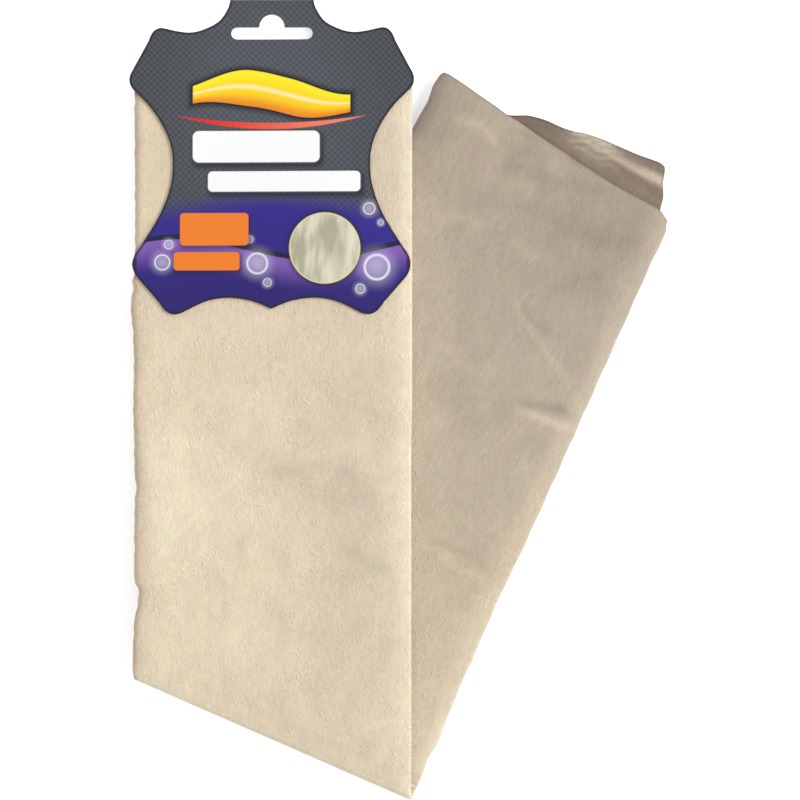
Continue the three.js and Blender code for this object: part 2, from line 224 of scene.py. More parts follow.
# How grey the back half is, up it in millimetres, partly its own tone and partly painted shade, and the width
# of a painted highlight along its right fold
BACK_GREY_AND_SHADE = ((0, 0.0), (20, 0.1), (60, 0.34), (110, 0.54), (165, 0.65), (215, 0.72), (263, 0.68))
FOLD_HIGHLIGHT_WIDTH = ((0, 4), (50, 8), (80, 12), (150, 11), (172, 8), (200, 12))

# How strong the painted highlight on the tongue's rolled ridge is, at places across the band, and where the
# roll's middle and its half width lie beyond the top leaf's end, in millimetres
RIDGE_HIGHLIGHT = ((34, 0), (50, 0.1), (58, 0.4), (66, 0.35), (76, 0.34), (84, 0.55), (98, 0.9))
ROLL_MIDDLE = 9
ROLL_HALF_WIDTH = 3.2
ROLL_HEIGHT = 1.1

# The bottom fold's sheets reach this far up each half, and its leaves are split so between them
LAP = 4.0
FOLD_GROUPS = ((0, 1), (2, 3), (4, 4), (5, 5))

# Extra columns of the top leaf beside its folds, in millimetres, and the size of the back half's round corner
NEAR_FOLD = (0, 0.4, 0.9, 1.6, 2.4, 3.4, 4.8, 6.6)
CORNER_WIDTH = 1.23
CORNER_DROP = 3.6

# Tones that pieces share: how grey the bend and the leaves beside it are, and how brown a cut edge is, its
# own colour with a painted shade, from that share of a half's length on
BEND_GREY = 0.05
CUT_BROWN = 0.5
CUT_SHARE = 0.999

# How much lighter the top leaf is painted round the bend, a painted light against the bend's shading, at
# shares of its turn
BEND_PAINTED_LIGHT = ((-0.3, -0.06), (0, 0.0), (0.12, 0.25), (0.22, 0.75), (0.35, 0.9))

# Edges that turn more sharply than this aren't shaded smooth
SKIN_SMOOTHING = 50 * DEGREE
CARD_SMOOTHING = 40 * DEGREE

# The card, in millimetres
BOARD = 0.5
ADHESIVE_SPACE = 0.75
CARD_WIDTH = 112.2
CARD_HEIGHT = 123.3
CARD_CENTRE = 53.75
NECK_TOP = 261.9
NECK_SPACING = 1.0
NECK_RADIUS = NECK_SPACING / 2
NECK_CENTRE = NECK_TOP - NECK_RADIUS - BOARD / 2
FULL_SPACING = BOARD + 2 * ADHESIVE_SPACE + HALF_THICKNESS
WEDGE = (4.0, 50.0)
SLOT_WIDTH = 32.2
SLOT_BAR = 4.8
SLOT_BUMP = 10.0
SLOT_HEIGHT = 9.9
SLOT_DISTANCE = 15.8
OVERRUN = 3.0
STACK_HEIGHT = 16.0

# The card's left side, as shares of half its width and of its height
NECK = (
    (0.292, 0), (0.31, 0.029), (0.373, 0.07), (0.48, 0.096), (0.57, 0.1055), (0.66, 0.102),
    (0.755, 0.0925),
)
SHOULDER = ((0.835, 0.083), (0.868, 0.134))
SHOULDER_CORNER = ((0.983, 0.233), (1.0265, 0.268), (0.955, 0.299))
FLANK = (
    (0.865, 0.34), (0.779, 0.395), (0.713, 0.46), (0.692, 0.53), (0.714, 0.61), (0.793, 0.7),
    (0.925, 0.797),
)
HIP_CORNER = ((1.02, 0.848), (0.935, 0.895))
FOOT = ((0.785, 0.973), (0.715, 1.03), (0.6, 0.998))
BELLY = ((0.45, 0.967), (0.3, 0.957), (0.14, 0.967), (0, 0.992))


def srgb(red, green, blue):
    """A colour of 0 to 255 as Blender's linear red, green, blue and alpha."""
    shares = [value / 255 for value in (red, green, blue)]
    linear = [s / 12.92 if s <= 0.04045 else ((s + 0.055) / 1.055) ** 2.4 for s in shares]
    return (*linear, 1.0)


def corner_of_skin():
    """Where the bottom fold's left end lies in the row frame, in millimetres, found from the card's box."""
    low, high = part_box("header_card")
    return np.array(((low[0] + high[0]) / 2 / MM - CARD_CENTRE, high[1] / MM - NECK_TOP))


def smoothstep(value, low, high):
    """0 up to low, 1 from high on, and a smooth rise between them."""
    share = np.clip((value - low) / (high - low), 0, 1)
    return share * share * (3 - 2 * share)


def falling(value, low, high):
    """1 up to low, 0 from high on, and a smooth fall between them."""
    return 1 - smoothstep(value, low, high)


def lerp(start, end, share):
    """The value that lies that share of the way from start to end."""
    return start + (end - start) * share


def smooth_table(table, places):
    """A smooth line through a table of (place, value) pairs, with no overshoot between them."""
    xs, ys = np.array(table, float).T
    steps, slopes = np.diff(xs), np.diff(ys) / np.diff(xs)
    before, after = slopes[:-1], slopes[1:]
    same_way = before * after > 0
    middle = np.where(same_way, 2 * before * after / np.where(same_way, before + after, 1), 0)
    tangents = np.concatenate((slopes[:1], middle, slopes[-1:]))
    places = np.clip(places, xs[0], xs[-1])
    at = np.clip(np.searchsorted(xs, places, side="right") - 1, 0, len(xs) - 2)
    step = steps[at]
    t = (places - xs[at]) / step
    ends = (2 * t**3 - 3 * t**2 + 1) * ys[at] + (3 * t**2 - 2 * t**3) * ys[at + 1]
    return ends + (t**3 - 2 * t**2 + t) * step * tangents[at] + (t**3 - t**2) * step * tangents[at + 1]


# The shape of the folded skin


def lift(x, y):
    """How far the front half is lifted off the table by the back half's edge below it."""
    left = (y - EDGE_FOOT[1]) * UP_EDGE[0] - (x - EDGE_FOOT[0]) * UP_EDGE[1]
    return DROP * falling(left, 0, DRAPE_WIDTH)


def panel_spacing(y):
    """The distance between the card's panels, which widens from the neck to the skin's full thickness."""
    return lerp(NECK_SPACING, FULL_SPACING, smoothstep(NECK_CENTRE - y, *WEDGE))


def above_fold(x, y):
    """How far up the front half a point lies above the slanted bottom fold."""
    return y + x * math.tan(FOLD_SLANT)


def settling(x, y):
    """How far the front half settles below the card, down to what it lies on."""
    below_card = smoothstep(NECK_TOP - CARD_HEIGHT - y, -2, 38)
    return SETTLING * below_card * smoothstep(above_fold(x, y), 10, 42)


def crease_depth(x, y, creases, value):
    """The sum of soft creases at points in millimetres from the fold's left end: depths (0) or tones (1)."""
    corner = corner_of_skin()
    total = np.zeros(np.shape(x))
    for start, end, half_width, *values in creases:
        start, end = np.array(start) - corner, np.array(end) - corner
        run = end - start
        length = np.linalg.norm(run)
        along = ((x - start[0]) * run[0] + (y - start[1]) * run[1]) / length**2
        aside = ((x - start[0]) * run[1] - (y - start[1]) * run[0]) / length
        aside = aside + half_width * 0.8 * np.sin(along * 5 + half_width * 7)
        fade = smoothstep(along, -0.08, 0.3) * falling(along, 0.75, 1.06)
        total += values[value] * np.exp(-((aside / half_width) ** 2)) * fade
    return total


def crossed_waves(x, y, waves):
    """A soft unevenness from 0 to 1, made of the waves."""
    total = 0.5
    for height, across, along, phase in waves:
        total = total + height * np.sin(x / across + y / along + phase)
    return total


def front_wave(x, y):
    """The soft unevenness of the front half, which its six leaves share."""
    free = smoothstep(NECK_TOP - CARD_HEIGHT - y, -4, 25) * smoothstep(above_fold(x, y), 4, 30)
    raised = 0.75 * crossed_waves(x, y, FRONT_WAVES) + 0.25
    return free * np.maximum(raised - crease_depth(x, y, FRONT_CREASES, 0), -0.1)


def back_wave(x, y, up):
    """The soft unevenness of the back half, which its six leaves share."""
    free = smoothstep(up, 8, 40) * (1 - 0.75 * front_cover(x))
    raised = 0.5 * crossed_waves(x, y, BACK_WAVES) + 0.45
    return free * np.maximum(raised - crease_depth(x, y, BACK_CREASES, 0), 0)


def front_cover(x):
    """1 where the front half lies on the back half, and 0 beside it."""
    return falling(x, BAND_WIDTH - 6, BAND_WIDTH + 4)


def leaf_radius(leaf):
    """How far the middle of a leaf lies from the bottom fold's axis, counted from the outer leaf."""
    return OUTER_RADIUS - LEAF_THICKNESS / 2 - leaf * LEAF_PITCH


def zigzag(columns_in_leaf, softness):
    """The skin cut across its folds: places across the band, distances from the fold's axis, directions.

    columns_in_leaf holds each leaf's shares of its width. The folds are softness times wider than high.
    """
    turn_radius = LEAF_PITCH / 2
    soft_radius = turn_radius * softness
    last_leaf = LEAF_COUNT - 1
    section = []

    def edge(fold):
        if fold >= len(FOLD_INSETS):
            return HIDE_EDGES[LEAF_COUNT - fold]
        return soft_radius + LEAF_THICKNESS / 2 + FOLD_INSETS[fold]

    for leaf in range(LEAF_COUNT):
        forward = leaf % 2 == 0
        outwards = 1 if forward else -1
        before = LEAF_COUNT if leaf == 0 else leaf - 1  # the hide's own edges count as folds 5 and 6
        left, right = edge(before if forward else leaf), BAND_WIDTH - edge(leaf if forward else before)
        start, end = (left, right) if forward else (right, left)
        shares = columns_in_leaf[leaf]
        shares = shares[0 if leaf == 0 else 1 : len(shares) if leaf == last_leaf else -1]
        for share in shares:
            across = lerp(start, end, share)
            section.append((across, leaf_radius(leaf), 0, outwards, leaf + share, leaf + 0.4 * (share - 0.5)))
        if leaf == last_leaf:
            break
        for step in range(TURN_STEPS + 1):
            turned = math.pi * step / TURN_STEPS
            normal = np.array((math.sin(turned) / softness, outwards * math.cos(turned)))
            normal /= np.linalg.norm(normal)
            across = end + outwards * soft_radius * math.sin(turned)
            distance = leaf_radius(leaf) - turn_radius + turn_radius * math.cos(turned)
            section.append((across, distance, *normal, leaf + 1, leaf + 0.25 + 0.5 * step / TURN_STEPS))
    names = ("across", "radius", "normal_across", "normal_radius", "leaves", "order")
    return dict(zip(names, np.array(section).T))


def only_leaves(section, first, last):
    """The part of a zigzag from the middle of the fold before one leaf to that of the fold after another."""
    kept = (section["order"] > first - 0.51) & (section["order"] < last + 0.51)
    return {name: values[kept] for name, values in section.items()}


def crowded(count, ends):
    """Shares from 0 to 1, closer together towards both ends by that power."""
    plain = np.linspace(0, 1, count)
    return 0.5 * (1 - np.sign(0.5 - plain) * np.abs(1 - 2 * plain) ** ends)


def front_place(across, radius, share, leaves):
    """A point of the front half, in millimetres from the left end of the bottom fold's axis."""
    start = LAP - across * math.tan(FOLD_SLANT)
    end = FRONT_LENGTH - END_UNEVENNESS * smooth_table(FRONT_END, leaves)
    y = lerp(start, end, share)
    depth = (radius - INNER_RADIUS) / HALF_THICKNESS
    squeezed = panel_spacing(y) - BOARD - 2 * ADHESIVE_SPACE
    z = BOARD + ADHESIVE_SPACE + lift(across, y) + depth * squeezed
    z = z - settling(across, y) + front_wave(across, y)
    z = z - 0.3 * falling(across, -0.6, 3) * (leaves < 1)
    near_left = falling(across, 2, 30)
    waver = smooth_table(LEFT_EDGE, y) + 0.12 * np.sin(y / 1.7) * np.sin(y / 6.1) + 0.1 * np.sin(y / 0.9 + 1)
    spread = smoothstep(across, 85, BAND_WIDTH) * lerp(0.1, 0.42, smoothstep(y, 86, 102))
    return across + (near_left * waver + spread) * smoothstep(share, 0, 0.03), y, z


def back_place(across, radius, up):
    """A point of the back half, that far up it from the bottom fold."""
    left = FOLD_SHIFT + up * math.tan(BACK_LEFT_LEAN)
    right = FOLD_SHIFT + FOLD_WIDTH + up * math.tan(BACK_RIGHT_LEAN)
    along = lerp(left, right, across / BAND_WIDTH)
    waver = smooth_table(RIGHT_EDGE, up) + 0.12 * np.sin(up / 2.6)
    along = along + waver * smoothstep(across, BAND_WIDTH - 30, BAND_WIDTH) * smoothstep(up, LAP, 12)
    along = along + smooth_table(BACK_LEFT_EDGE, up) * falling(across, 0, 20)
    x = ALONG_FOLD[0] * along + UP_BACK[0] * up
    y = ALONG_FOLD[1] * along + UP_BACK[1] * up
    return x, y, AXIS_HEIGHT - radius + back_wave(x, y, up)


def bend_place(across, radius, turned):
    """A point of the bend, turned about its axis by that angle from the front half."""
    along = across / math.cos(FOLD_SLANT) + FOLD_SHIFT * np.sin(np.minimum(turned, math.pi / 2))
    reach = radius * np.maximum(np.sin(turned), 0) ** BEND_SQUARENESS * (0.84 + 0.12 * across / BAND_WIDTH)
    x = ALONG_FOLD[0] * along - UP_BACK[0] * reach
    y = ALONG_FOLD[1] * along - UP_BACK[1] * reach
    return x, y, AXIS_HEIGHT + radius * np.sign(np.cos(turned)) * np.abs(np.cos(turned)) ** BEND_SQUARENESS


# Making meshes


def deselect_all():
    if bpy.context.object and bpy.context.object.mode != "OBJECT":
        bpy.ops.object.mode_set(mode="OBJECT")
    bpy.ops.object.select_all(action="DESELECT")


def make_active(piece):
    deselect_all()
    piece.select_set(True)
    bpy.context.view_layer.objects.active = piece


def coordinates(piece):
    flat = np.empty(len(piece.data.vertices) * 3)
    piece.data.vertices.foreach_get("co", flat)
    return flat.reshape(-1, 3)


def set_coordinates(piece, places):
    piece.data.vertices.foreach_set("co", np.asarray(places, np.float32).ravel())
    piece.data.update()


def set_places(piece, x, y, z):
    """Moves the vertices to points given in millimetres from the bottom fold's left end."""
    corner = corner_of_skin()
    set_coordinates(piece, np.column_stack((x + corner[0], y + corner[1], z)) * MM)


def set_attribute(piece, name, values):
    attribute = piece.data.attributes.new(name, "FLOAT", "POINT")
    attribute.data.foreach_set("value", np.asarray(values, np.float32))


def set_flat_uv(piece, u, v):
    """The sheet's own flat layout in metres, given for each vertex."""
    corners = np.empty(len(piece.data.loops), np.int32)
    piece.data.loops.foreach_get("vertex_index", corners)
    layer = piece.data.uv_layers.active
    layer.data.foreach_set("uv", np.column_stack((u[corners], v[corners])).astype(np.float32).ravel())


def double_grid(name, columns, rows):
    """A grid with two faces and a rim, with the column, row and side of each of its vertices."""
    deselect_all()
    bpy.ops.mesh.primitive_grid_add(x_subdivisions=columns - 1, y_subdivisions=rows - 1, size=1)
    piece = bpy.context.object
    piece.name = piece.data.name = name
    plain = coordinates(piece)
    if len(plain) != columns * rows:
        raise RuntimeError(f"{name}: the grid has {len(plain)} points")
    column = np.rint((plain[:, 0] + 0.5) * (columns - 1)).astype(int)
    row = np.rint((plain[:, 1] + 0.5) * (rows - 1)).astype(int)
    # Any thickness does, because each vertex is placed anew later
    shell = piece.modifiers.new("Two faces", "SOLIDIFY")
    shell.thickness, shell.offset = 0.01, -1
    bpy.ops.object.modifier_apply(modifier=shell.name)
    side = np.repeat((1, -1), len(plain))
    return piece, np.tile(column, 2), np.tile(row, 2), side


def close_up(piece, angle):
    """Turns a finished shell's faces outwards and shades it smooth but for its sharp edges."""
    make_active(piece)
    bpy.ops.object.mode_set(mode="EDIT")
    bpy.ops.mesh.select_all(action="SELECT")
    bpy.ops.mesh.normals_make_consistent(inside=False)
    bpy.ops.object.mode_set(mode="OBJECT")
    bpy.ops.object.shade_smooth_by_angle(angle=angle)
    deselect_all()


def skin_piece(name, section, rows, place, tone, settings, flat_v):
    """A folded sheet: place gives the points of its two faces, and tone how grey, brown and warm they are,
    with the painted light and shade that it carries.
    """
    piece, column, row, side = double_grid(name, len(section["across"]), len(rows))
    at = {key: values[column] for key, values in section.items()}
    share = np.asarray(rows)[row]
    offset = side * settings.thickness / MM / 2
    across = at["across"] + offset * at["normal_across"]
    radius = at["radius"] + offset * at["normal_radius"]
    x, y, z = place(across, radius, share, at["leaves"])
    set_places(piece, x, y, z)
    set_flat_uv(piece, at["leaves"] * BAND_WIDTH * MM, flat_v(at, x, y, share) * MM)
    for attribute, values in zip(("tone", "brown", "warmth"), tone(at, share, x, y)):
        set_attribute(piece, attribute, values)
    close_up(piece, SKIN_SMOOTHING)
    piece.data.materials.append(leather_material(settings))
    return piece


# Shader nodes


class Nodes:
    """Adds the nodes of one material or group and joins them."""

    def __init__(self, tree):
        self.tree = tree

    def put(self, socket, value):
        if isinstance(value, bpy.types.NodeSocket):
            self.tree.links.new(value, socket)
        elif isinstance(value, bpy.types.Node):
            self.tree.links.new(value.outputs[0], socket)
        elif value is not None:
            socket.default_value = value

    def add(self, kind, inputs=None, **settings):
        node = self.tree.nodes.new(kind)
        for name, value in settings.items():
            setattr(node, name, value)
        for name, value in (inputs or {}).items():
            self.put(node.inputs[name], value)
        return node

    def math(self, operation, *values, clamp=False):
        node = self.add("ShaderNodeMath", operation=operation, use_clamp=clamp)
        for socket, value in zip(node.inputs, values):
            self.put(socket, value)
        return node.outputs[0]

    def in_turn(self, operation, first, *others):
        """Joins two or more values by one operation, from the left."""
        for value in others:
            first = self.math(operation, first, value)
        return first

    def plus(self, *values):
        return self.in_turn("ADD", *values)

    def minus(self, *values):
        return self.in_turn("SUBTRACT", *values)

    def times(self, *values):
        return self.in_turn("MULTIPLY", *values)

    def over(self, *values):
        return self.in_turn("DIVIDE", *values)

    def larger(self, *values):
        return self.in_turn("MAXIMUM", *values)

    def absolute(self, value):
        return self.math("ABSOLUTE", value)

    def vector(self, operation, *values):
        node = self.add("ShaderNodeVectorMath", operation=operation)
        for socket, value in zip(node.inputs, values):
            self.put(socket, value)
        scalar = operation in ("DOT_PRODUCT", "LENGTH", "DISTANCE")
        return node.outputs[1 if scalar else 0]

    def flat_distance(self, place, centre, scale=(1, 1, 0)):
        """How far a place lies from a centre, seen from above."""
        offset = self.vector("MULTIPLY", self.vector("SUBTRACT", place, centre), scale)
        return self.vector("LENGTH", offset)

    def mapped(self, value, low, high, to_low=0.0, to_high=1.0, smooth=True):
        kind = "SMOOTHSTEP" if smooth else "LINEAR"
        inputs = {"From Min": low, "From Max": high, "To Min": to_low, "To Max": to_high, "Value": value}
        return self.add("ShaderNodeMapRange", inputs, interpolation_type=kind).outputs[0]

    def mix(self, share, first, second, blend="MIX"):
        node = self.add("ShaderNodeMix", data_type="RGBA", blend_type=blend)
        self.put(node.inputs["Factor"], share)
        self.put(node.inputs[6], first)
        self.put(node.inputs[7], second)
        return node.outputs[2]

    def shaded(self, colour, level):
        """A colour made darker or lighter by one level."""
        levels = self.add("ShaderNodeCombineColor", {0: level, 1: level, 2: level}).outputs[0]
        return self.mix(1.0, colour, levels, "MULTIPLY")

    def mapping(self, vector, location=(0, 0, 0), rotation=(0, 0, 0), scale=(1, 1, 1)):
        inputs = {"Vector": vector, "Location": location, "Rotation": rotation, "Scale": scale}
        return self.add("ShaderNodeMapping", inputs).outputs[0]

    def in_millimetres(self, vector):
        return self.mapping(vector, scale=(PER_MM, PER_MM, PER_MM))

    def object_place(self):
        return self.add("ShaderNodeTexCoord").outputs["Object"]

    def split(self, vector):
        return self.add("ShaderNodeSeparateXYZ", {0: vector}).outputs

    def attribute(self, name):
        return self.add("ShaderNodeAttribute", attribute_name=name).outputs["Fac"]

    def noise(self, vector, scale, detail=2.0, roughness=0.5):
        inputs = {"Vector": vector, "Scale": scale, "Detail": detail, "Roughness": roughness}
        return self.add("ShaderNodeTexNoise", inputs).outputs[0]

    def bump(self, height, strength, distance):
        return self.add("ShaderNodeBump", {"Height": height, "Strength": strength, "Distance": distance})

    def cells(self, vector, scale):
        """The distance to the nearest of some scattered points, and that point's own chance from 0 to 1."""
        found = self.add("ShaderNodeTexVoronoi", {"Vector": vector, "Scale": scale}).outputs
        return found["Distance"], self.add("ShaderNodeSeparateColor", {0: found["Color"]}).outputs[0]

    def group(self, tree, **inputs):
        """A group's output, for inputs named as its sockets are, in small letters and with low lines."""
        node = self.add("ShaderNodeGroup", node_tree=tree)
        for name, value in inputs.items():
            self.put(node.inputs[name.replace("_", " ").title()], value)
        return node.outputs[0]

    def finish(self, **inputs):
        """Ends a material with its shader, whose inputs are named as its sockets are, but with low lines."""
        shader = self.add("ShaderNodeBsdfPrincipled")
        for name, value in inputs.items():
            self.put(shader.inputs[name.replace("_", " ")], value)
        self.add("ShaderNodeOutputMaterial", {"Surface": shader.outputs[0]})


def new_material(name):
    material = bpy.data.materials.new(name)
    material.use_nodes = True
    material.node_tree.nodes.clear()
    return material, Nodes(material.node_tree)


def new_group(name, inputs, output):
    """A node group with inputs and one output, each given as its name and its kind, and its given values."""
    group = bpy.data.node_groups.new(name, "ShaderNodeTree")
    for label, kind in inputs:
        group.interface.new_socket(label, in_out="INPUT", socket_type="NodeSocket" + kind)
    label, kind = output
    group.interface.new_socket(label, in_out="OUTPUT", socket_type="NodeSocket" + kind)
    nodes = Nodes(group)
    return group, nodes, nodes.add("NodeGroupInput").outputs


def speckle_group():
    """A node group for a colour's fine speckle: small shifts of its red, green and blue."""
    inputs = (("Color", "Color"), ("Place", "Vector"), ("Scale", "Float"), ("Strength", "Float"))
    group, nodes, given = new_group("Fine Speckle", inputs, ("Color", "Color"))
    inputs = {"Vector": given["Place"], "Scale": given["Scale"], "Detail": 2.0}
    shifts = nodes.add("ShaderNodeTexNoise", inputs).outputs["Color"]
    shifts = nodes.vector("SUBTRACT", shifts, (0.5, 0.5, 0.5))
    shifts = nodes.vector("MULTIPLY", shifts, (1, 1, 0.5))
    scaled = nodes.add("ShaderNodeVectorMath", {0: shifts, "Scale": given["Strength"]}, operation="SCALE")
    shifts = nodes.vector("ADD", scaled.outputs[0], (1, 1, 1))
    speckled = nodes.vector("MULTIPLY", given["Color"], shifts)
    nodes.put(nodes.add("NodeGroupOutput").inputs["Color"], speckled)
    return group


def leather_material(settings):
    """Oil-tanned chamois: a fine suede nap in soft streaks, with pimples in patches, and the painted light
    and shade that its tone carries.
    """
    found = bpy.data.materials.get("Chamois Suede")
    if found:
        return found
    material, nodes = new_material("Chamois Suede")
    place = nodes.in_millimetres(nodes.object_place())
    flat = nodes.in_millimetres(nodes.add("ShaderNodeUVMap").outputs[0])
    tone = nodes.attribute("tone")

    # The marks: patches of rough nap, fine grain, slanted ripples, and small and large pimples
    clouds = nodes.noise(place, 0.028, 2.0)
    mottle = nodes.noise(nodes.mapping(flat, scale=(1.0, 0.55, 1)), 0.13, 3.0, 0.6)
    patches = nodes.noise(nodes.mapping(place, location=(40, 17, 0)), 0.07, 3.0, 0.55)
    nap = nodes.noise(nodes.mapping(flat, scale=(1.0, 0.22, 1)), 1.3, 3.0, 0.65)
    grain = nodes.noise(flat, 2.2, 2.0, 0.6)
    slanted = nodes.mapping(nodes.mapping(flat, rotation=(0, 0, -38 * DEGREE)), scale=(1.0, 0.42, 1))
    ripple = nodes.noise(slanted, 1.25, 2.0, 0.55)
    rough_parts = nodes.times(nodes.mapped(patches, 0.4, 0.6), nodes.mapped(tone, 0.2, 0.5, 1.0, 0.12))
    distance, chance = nodes.cells(slanted, 0.95)
    present = nodes.mapped(nodes.plus(chance, nodes.times(rough_parts, 0.45)), 0.92, 1.1)
    small = nodes.times(nodes.mapped(distance, 0.1, 0.45, 1.0, 0.0), present)
    distance, chance = nodes.cells(slanted, 0.15)
    large = nodes.times(nodes.mapped(distance, 0.02, 0.1, 1.6, 0.0), nodes.mapped(chance, 0.4, 0.7))
    pimples = nodes.larger(small, nodes.times(large, nodes.mapped(tone, 0.2, 0.5, 1.0, 0.1)))

    def around(value, strength):
        return nodes.times(nodes.minus(value, 0.5), strength)

    fine = nodes.times(around(grain, 1.0), nodes.mapped(tone, 0.2, 0.5, 0.34, 0.18))
    ripples = nodes.times(around(ripple, 0.3), nodes.mapped(rough_parts, 0.0, 1.0, 0.2, 1.0))
    # Tone past 1 darkens further, a deeper painted shade; the pimples' tips are lighter, partly lighter nap
    # and partly a painted highlight
    brightness = nodes.plus(
        nodes.mapped(tone, 1.0, 2.0, 1.0, 0.6, smooth=False), around(clouds, 0.16), around(mottle, 0.26),
        around(nap, 0.26), fine, ripples, nodes.times(pimples, 0.18),
    )

    # The colour: greyer where tone is above 0, which also paints shade, lighter by a painted highlight where
    # it is below 0, browner on the raw side, rosy in patches, and warmer or cooler
    greyer = nodes.mapped(tone, 0.0, 1.0, 0.0, 1.0, smooth=False)
    painted_highlight = nodes.mapped(tone, -1.0, 0.0, 1.0, 0.0, smooth=False)
    colour = nodes.mix(greyer, tuple(settings.nap_color), tuple(settings.shade_color))
    colour = nodes.mix(painted_highlight, colour, tuple(settings.highlight_color))
    colour = nodes.mix(nodes.attribute("brown"), colour, tuple(settings.raw_color))
    rosy = nodes.mix(1.0, colour, (1.02, 1.0, 1.02, 1), "MULTIPLY")
    colour = nodes.mix(nodes.mapped(patches, 0.46, 0.72), colour, rosy)
    warmth = nodes.mapped(nodes.attribute("warmth"), -1.0, 1.0, smooth=False)
    hue = nodes.mix(warmth, (0.992, 1.0, 1.03, 1), (1.008, 1.0, 0.97, 1))
    colour = nodes.shaded(nodes.mix(1.0, colour, hue, "MULTIPLY"), brightness)
    colour = nodes.group(
        speckle_group(), color=colour, place=nodes.mapping(flat, scale=(1.0, 0.4, 1)), scale=0.75,
        strength=nodes.mapped(tone, 0.2, 0.5, 0.25, 0.34),
    )

    height = nodes.plus(
        nodes.times(nap, 0.7), nodes.times(grain, 0.5), nodes.times(mottle, 1.2), nodes.times(pimples, 0.6),
        nodes.times(ripples, 2.5),
    )
    nodes.finish(
        Base_Color=colour, Roughness=0.95, Specular_IOR_Level=0.15, Sheen_Weight=0.1, Sheen_Roughness=0.5,
        Normal=nodes.bump(height, 1.0, 0.42 * MM),
    )
    return material


# Settings


def colour_setting(name, description, default):
    return bpy.props.FloatVectorProperty(
        name=name, description=description, subtype="COLOR", size=4, min=0, max=1, default=default,
    )


class ChamoisSkinSettings(bpy.types.PropertyGroup):
    thickness: bpy.props.FloatProperty(
        name="Thickness", description="Thickness of one leaf of leather",
        default=LEAF_THICKNESS * MM, min=0.0003, max=0.0007, unit="LENGTH", precision=4,
    )
    softness: bpy.props.FloatProperty(
        name="Fold Softness", description="How much wider than high the lengthwise folds are rounded",
        default=1.6, min=1.0, max=3.0,
    )
    nap_color: colour_setting("Nap", "Colour of the clean suede", srgb(227, 210, 183))
    # The grey colour also serves as painted shade
    shade_color: colour_setting("Grey and Shade", "Colour of the hide's greyer parts and of its painted shade", srgb(158, 147, 134))
    # Colour of the painted highlights, along the folds, on ridges and where light is painted on
    highlight_color: colour_setting(
        "Highlight", "Colour of the nap's painted highlights", srgb(250, 236, 208),
    )
    raw_color: colour_setting(
        "Raw Side", "Colour of the skin's cut edges and of its raw, browner side", srgb(128, 98, 78),
    )


class ChamoisCardSettings(bpy.types.PropertyGroup):
    ground_color: colour_setting("Ground", "Colour of the printed woven ground", srgb(78, 82, 88))
    field_color: colour_setting("Field", "Colour of the printed field below the ground", srgb(52, 40, 138))
    label_color: colour_setting("Label", "Colour of the bare labels", srgb(243, 130, 45))
    gloss: bpy.props.FloatProperty(
        name="Roughness", description="Roughness of the varnish over the print", subtype="FACTOR",
        default=0.38, min=0, max=1,
    )


class ChamoisStageSettings(bpy.types.PropertyGroup):
    camera_distance: bpy.props.FloatProperty(
        name="Camera Distance", description="Height of the camera above the table", default=2.0, min=0.5,
        max=10, unit="LENGTH",
    )
    view_width: bpy.props.FloatProperty(
        name="View Width", description="Width of the picture on the table", default=0.31621, min=0.1, max=2,
        unit="LENGTH", precision=4,
    )
    lamp_power: bpy.props.FloatProperty(
        name="Lamp Power", description="Power of the soft lamp", default=15.0, min=0, max=500, unit="POWER",
    )
    room_light: bpy.props.FloatProperty(
        name="Room Light", description="Level of the light from all round", default=0.68, min=0, max=2,
    )


# The skin


def edge_columns(count):
    """Shares across one leaf, with extra columns within a few millimetres of its folds."""
    near = np.array(NEAR_FOLD) / BAND_WIDTH
    middle = np.linspace(near[-1], 1 - near[-1], count)[1:-1]
    return np.concatenate((near, middle, 1 - near[::-1]))


def with_fine_top_leaf(fine_count, plain_count):
    """The columns of six leaves, of which only the top one has fine ones."""
    return [edge_columns(fine_count)] + [np.linspace(0, 1, plain_count)] * (LEAF_COUNT - 1)


def runs(*parts):
    """Shares in a row of even runs, each given as its start, its end and its number of points."""
    last = len(parts) - 1
    return np.concatenate([np.linspace(*part)[: None if i == last else -1] for i, part in enumerate(parts)])


def in_top_leaf(at):
    """Whether points of the front half or of the bend lie in the top leaf."""
    return at["leaves"] <= 1.02


def front_tone(at, share, x, y):
    """How grey, brown and warm: a painted highlight on the right fold, painted light on the left, painted
    shade on the left edge, creases and hidden leaves, brown where cut.
    """
    left = falling(at["across"], 0.2, 3.6)
    light = smooth_table(PAINTED_LIGHT_ACROSS, at["across"]) * smooth_table(PAINTED_LIGHT_ABOVE, y)
    light = light * smoothstep(NECK_TOP - CARD_HEIGHT - y, -10, 10)
    waver = 0.6 + 0.4 * np.sin(y / 13 + 1.0) * np.sin(y / 37)
    across_grey_and_highlight = smooth_table(FRONT_GREY_AND_HIGHLIGHT, at["across"])
    across_grey_and_highlight = np.where(across_grey_and_highlight < 0, across_grey_and_highlight * (0.7 + 0.3 * smoothstep(y, -10, 40)), across_grey_and_highlight)
    # The left edge is darker by painted shade, and the creases carry painted shade and painted light
    top = 0.3 * left * waver - 0.75 * light + across_grey_and_highlight
    left_edge = falling(at["across"], 0.3, 1.4) * (at["leaves"] < 1)
    brown = 0.32 * left_edge + CUT_BROWN * (share > CUT_SHARE)
    # The leaves under the top one grow darker away from the bend: painted shade between the leaves
    hidden = lerp(BEND_GREY, 0.35, smoothstep(above_fold(x, y), LAP, 45))
    grey = np.where(in_top_leaf(at), top + crease_depth(x, y, FRONT_CREASES, 1), hidden)
    return grey, brown, smooth_table(FRONT_WARMTH, at["across"])


